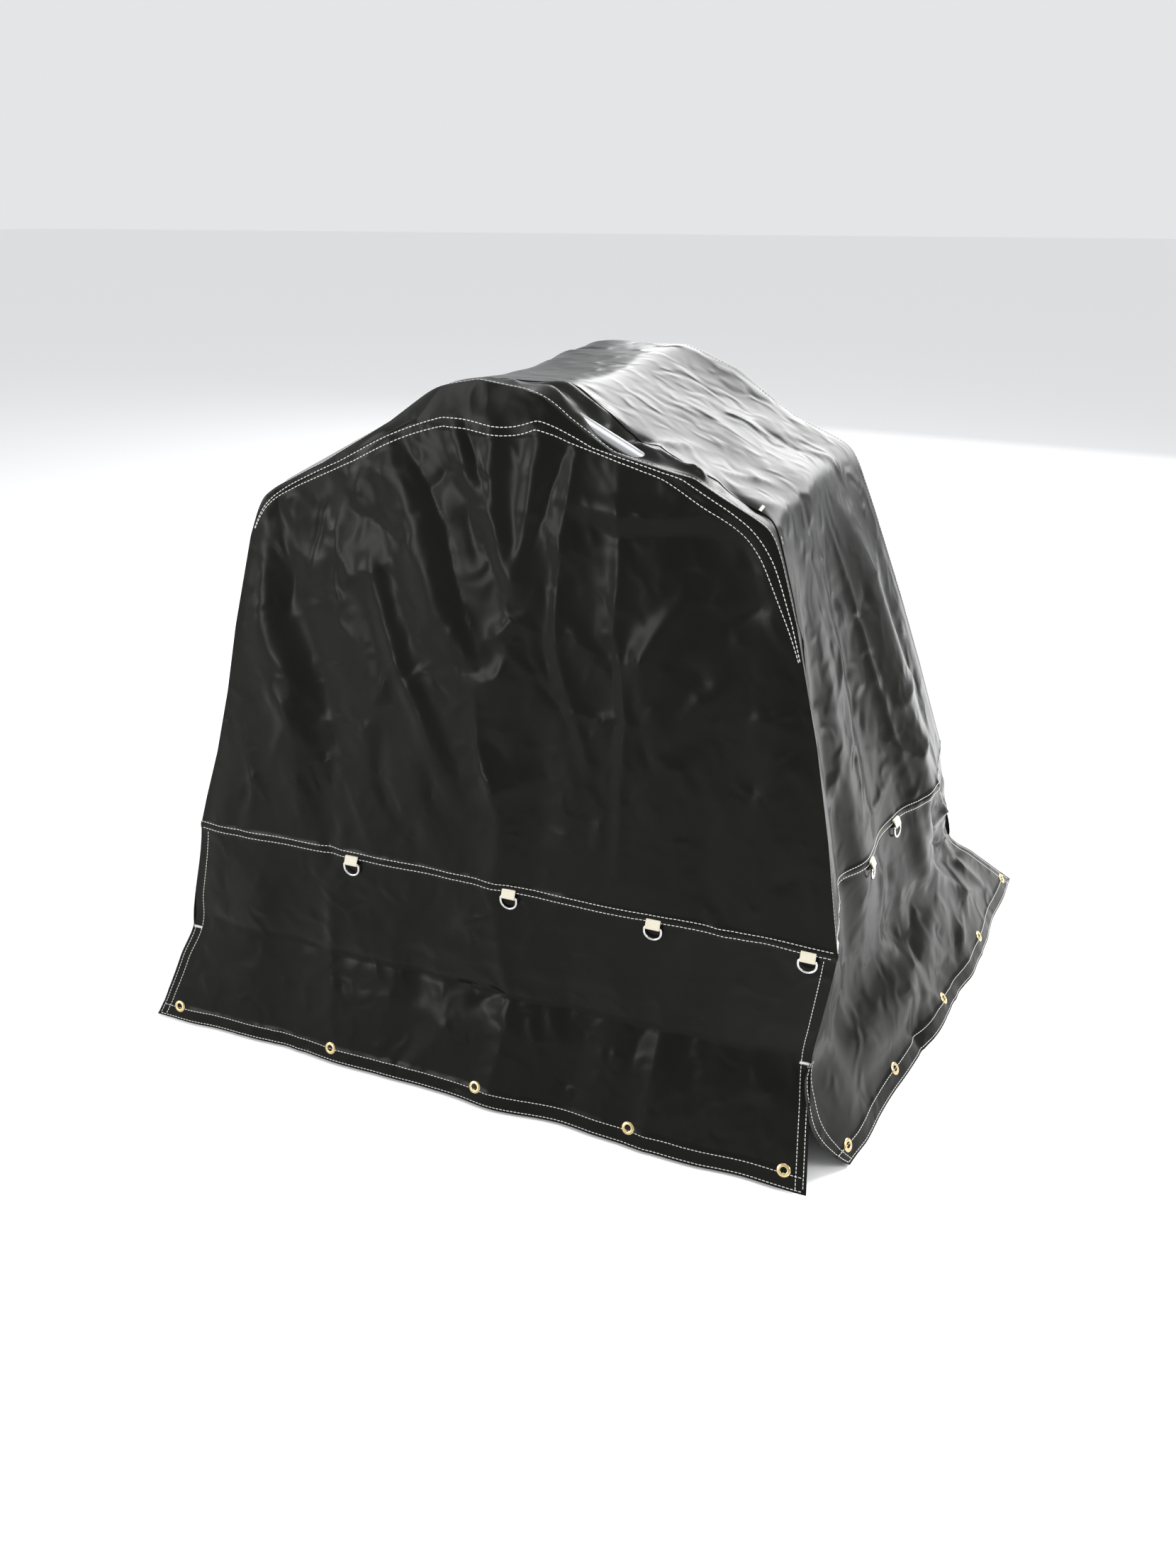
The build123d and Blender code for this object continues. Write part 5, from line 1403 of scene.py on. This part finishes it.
class OnCloth:
    """Finds places on the skirts for pieces pressed or sewn through them."""

    def __init__(self, pieces: dict[str, Cloth]) -> None:
        self.skirts = [p for n, p in pieces.items() if "skirt" in n]

    def nearest(self, point: Points) -> tuple[Vector, Vector, Vector]:
        """The closest place on a skirt, with its normal and its level direction."""
        best = None
        for cloth in self.skirts:
            gap = np.linalg.norm(cloth.points - point, axis=-1)
            i, j = np.unravel_index(np.argmin(gap), gap.shape)
            rows = np.linspace(cloth.rows[max(i - 1, 0)], cloth.rows[min(i + 1, len(cloth.rows) - 1)], 17)
            cols = np.linspace(cloth.cols[max(j - 1, 0)], cloth.cols[min(j + 1, len(cloth.cols) - 1)], 17)
            r, c = (g.ravel() for g in np.meshgrid(rows, cols))
            places, normals = cloth.place(r, c)
            k = int(np.argmin(np.linalg.norm(places - point, axis=1)))
            far = float(np.linalg.norm(places[k] - point))
            if best is None or far < best[0]:
                best = (far, places[k], normals[k])
        normal = Vector(best[2]).normalized()
        level = Vector((0, 0, 1)).cross(normal).normalized()
        return Vector(best[1]), normal, level


class HemGrommets:
    """The brass grommets along the hem."""

    STAND = 0.0004             # how far off the cloth they stand

    def __init__(self, paint: Paint, pieces: dict[str, Cloth]) -> None:
        self.paint, self.sizes = paint, GrommetSizes()
        self.on = OnCloth(pieces)

    def build(self) -> None:
        """Makes all the grommets as one piece."""
        s = self.sizes
        profile = [(s.bore, -0.0016), (s.bore, 0.0006), (s.bore + 0.0007, s.crown * 0.8),
                   (s.bore + 0.0019, s.crown), (s.outer - 0.0026, s.crown * 0.82),
                   (s.outer - 0.0008, s.crown * 0.5), (s.outer, 0.0001), (s.outer - 0.0004, -0.0006)]
        points, faces = [], []
        groups = clusters(node_points("hem_grommets"), 0.04)
        for group in groups:
            place, normal, level = self.on.nearest((group.min(0) + group.max(0)) / 2)
            up = normal.cross(level)
            first, count = len(points), len(profile)
            for k in range(s.sides):
                a = 2 * math.pi * k / s.sides
                out = level * math.cos(a) + up * math.sin(a)
                points += [tuple(place + out * r + normal * (h + self.STAND)) for r, h in profile]
            for k in range(s.sides):
                here, there = first + k * count, first + (k + 1) % s.sides * count
                faces += [(here + i, there + i, there + i + 1, here + i + 1) for i in range(count - 1)]
        obj = make_mesh("brass_grommets", np.array(points), faces, 50.0)
        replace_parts(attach(self.paint.put(obj, "grommet_brass"), Cover.BODY), "hem_grommets")
        log.info("%d grommets", len(groups))


class BarTacks:
    """The dense stitches at the tops of the corner slits and at the shoulder of the roof's seam."""

    LENGTH = 0.017
    HEIGHT = 0.0055
    THREADS = 21
    INSET = 0.0095
    PAST_SHOULDER = 0.02       # how far up the roof's slope the fifth tack is
    REACH = 0.004              # half the stretch of cloth that a tack is squared to
    RAISED = 0.0009
    LEAN = 0.0006              # neighbouring threads lean opposite ways
    RADIUS = 0.00055
    SIDES = 6
    SHARES = (-1.0, -0.7, 0.7, 1.0)
    END_SQUEEZE = 0.4
    SHARP = 80.0

    def __init__(self, paint: Paint, pieces: dict[str, Cloth], edges: CoverEdges,
                 gusset_end: float) -> None:
        self.paint, self.pieces, self.edges, self.gusset_end = paint, pieces, edges, gusset_end

    def _spots(self) -> list[tuple[Cloth, float, float]]:
        """The piece, row and column of each tack."""
        row = self.edges.seam - self.edges.slit + self.HEIGHT / 2
        spots = []
        for side in (Side.FRONT, Side.REAR):
            cloth = self.pieces[f"cloth_skirt_{side.value}"]
            spots += [(cloth, row, cloth.cols[0] + self.INSET), (cloth, row, cloth.cols[-1] - self.INSET)]
        band = self.pieces["cloth_main_band"]
        side = slice(0, len(band.rows) // 3)
        shoulder = float(np.interp(self.edges.shoulder, band.base[side, 0, 2], band.rows[side]))
        return [*spots, (band, shoulder + self.PAST_SHOULDER, self.gusset_end + self.INSET)]

    def build(self) -> None:
        """Makes the tacks as one piece."""
        points, faces = [], []
        for cloth, row, col in self._spots():
            cols = np.array([col - self.REACH, col + self.REACH])
            places, normals = cloth.place(np.array([row, row]), cols)
            place, normal = Vector(places.mean(0)), Vector(normals.mean(0)).normalized()
            level = Vector(places[1] - places[0]).normalized()
            up = normal.cross(level)
            for k in range(self.THREADS):
                x = (k / (self.THREADS - 1) - 0.5) * self.LENGTH
                lean = self.LEAN * (-1) ** k
                self._thread(points, faces, place + normal * self.RAISED, level, up, normal, x, lean)
        obj = make_mesh("white_bar_tacks", np.array(points), faces, self.SHARP)
        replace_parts(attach(self.paint.put(obj, "white_thread"), Cover.BODY), "slit_bar_tacks")

    def _thread(self, points: list, faces: list, place: Vector, level: Vector, up: Vector,
                normal: Vector, x: float, lean: float) -> None:
        """Adds one upright thread of a tack."""
        first = len(points)
        for share in self.SHARES:
            radius = self.RADIUS * (self.END_SQUEEZE if abs(share) == 1 else 1.0)
            middle = place + level * (x + lean * share) + up * (share * self.HEIGHT / 2)
            for k in range(self.SIDES):
                a = 2 * math.pi * k / self.SIDES
                points.append(tuple(middle + (level * math.cos(a) + normal * math.sin(a)) * radius))
        faces += tube_faces(len(self.SHARES), self.SIDES, first)


# ------------------------------------------------------------------- machine
class Machine:
    """The spreader under the cover, and the D-rings, which are the CAD nodes themselves."""

    def __init__(self, paint: Paint) -> None:
        self.paint = paint

    def finish(self) -> None:
        """Gives every CAD node its finish."""
        for part in frame["record"]["subparts"]:
            node = frame["nodes"][part["node"]]
            self.paint.put(node, part["material_slot"])


# -------------------------------------------------------------------- studio
@dataclass
class Softbox:
    """One area light.

    Args:
        name: its name.
        place: where it stands, in metres.
        target: what it points at.
        size: its width and height.
        power: in watts.
    """

    name: str
    place: tuple
    target: tuple
    size: tuple
    power: float


class Studio:
    """Floor, lights and camera."""

    LIGHTS = (
        Softbox("light_back", (0.6, 5.2, 2.6), (0.0, 0.0, 0.6), (5.0, 2.6), 195.0),
        Softbox("light_top", (0.3, -0.8, 4.2), (0.0, -0.4, 0.0), (2.2, 2.0), 45.0),
        Softbox("light_right", (4.2, -0.9, 2.8), (0.5, -0.3, 0.3), (1.4, 2.4), 120.0),
        Softbox("light_left", (-4.0, -3.4, 2.0), (-0.2, -0.5, 0.5), (0.8, 2.6), 105.0),
        Softbox("light_low", (-2.2, -4.3, 1.3), (0.0, -0.7, 0.7), (0.5, 1.8), 52.0),
        Softbox("light_floor", (2.6, 1.6, 2.4), (1.0, 0.4, 0.0), (1.0, 1.0), 150.0),
    )
    FLOOR = (0.92, 0.92, 0.92)
    FLOOR_HALF = 60.0
    SKY = (0.97, 0.98, 1.0)
    SKY_STRENGTH = 0.80

    def __init__(self, camera: CameraPose) -> None:
        self.camera = camera

    def build(self) -> None:
        """Makes the floor, the lights and the camera."""
        self._floor()
        for light in self.LIGHTS:
            self._light(light)
        world = bpy.data.worlds.new("sky")
        world.use_nodes = True
        back = world.node_tree.nodes["Background"]
        back.inputs["Color"].default_value = (*self.SKY, 1)
        back.inputs["Strength"].default_value = self.SKY_STRENGTH
        bpy.context.scene.world = world
        bpy.context.scene.view_settings.view_transform = "Standard"
        self._camera()

    def _floor(self) -> None:
        """A plain pale floor that runs out to the horizon."""
        half = self.FLOOR_HALF
        points = [(x, y, 0.0) for x in (-half, half) for y in (-half, half)]
        floor = make_mesh("floor", np.array(points), [(0, 2, 3, 1)])
        material = bpy.data.materials.new("floor")
        material.use_nodes = True
        shader = material.node_tree.nodes["Principled BSDF"]
        shader.inputs["Base Color"].default_value = (*self.FLOOR, 1)
        shader.inputs["Roughness"].default_value = 0.7
        shader.inputs["Specular IOR Level"].default_value = 0.2
        floor.data.materials.append(material)

    @staticmethod
    def _light(light: Softbox) -> None:
        """Adds one softbox."""
        data = bpy.data.lights.new(light.name, "AREA")
        data.shape = "RECTANGLE"
        data.size, data.size_y = light.size
        data.energy = light.power
        obj = bpy.data.objects.new(light.name, data)
        bpy.context.scene.collection.objects.link(obj)
        obj.location = light.place
        way = Vector(light.target) - Vector(light.place)
        obj.rotation_euler = way.to_track_quat("-Z", "Y").to_euler()
        log.info("light %s", light.name)

    def _camera(self) -> None:
        """Puts the camera where it looks down on the cover's front right corner."""
        data = bpy.data.cameras.new("camera")
        data.lens = self.camera.lens
        obj = bpy.data.objects.new("camera", data)
        bpy.context.scene.collection.objects.link(obj)
        obj.location = self.camera.place
        obj.rotation_euler = (math.radians(self.camera.tilt), 0, math.radians(self.camera.turn))
        bpy.context.scene.camera = obj


def main() -> None:
    """Builds the whole picture."""
    paint = Paint()
    Machine(paint).finish()
    Cover(paint).build()
    Studio(CameraPose()).build()


if __name__ == "__main__":
    main()
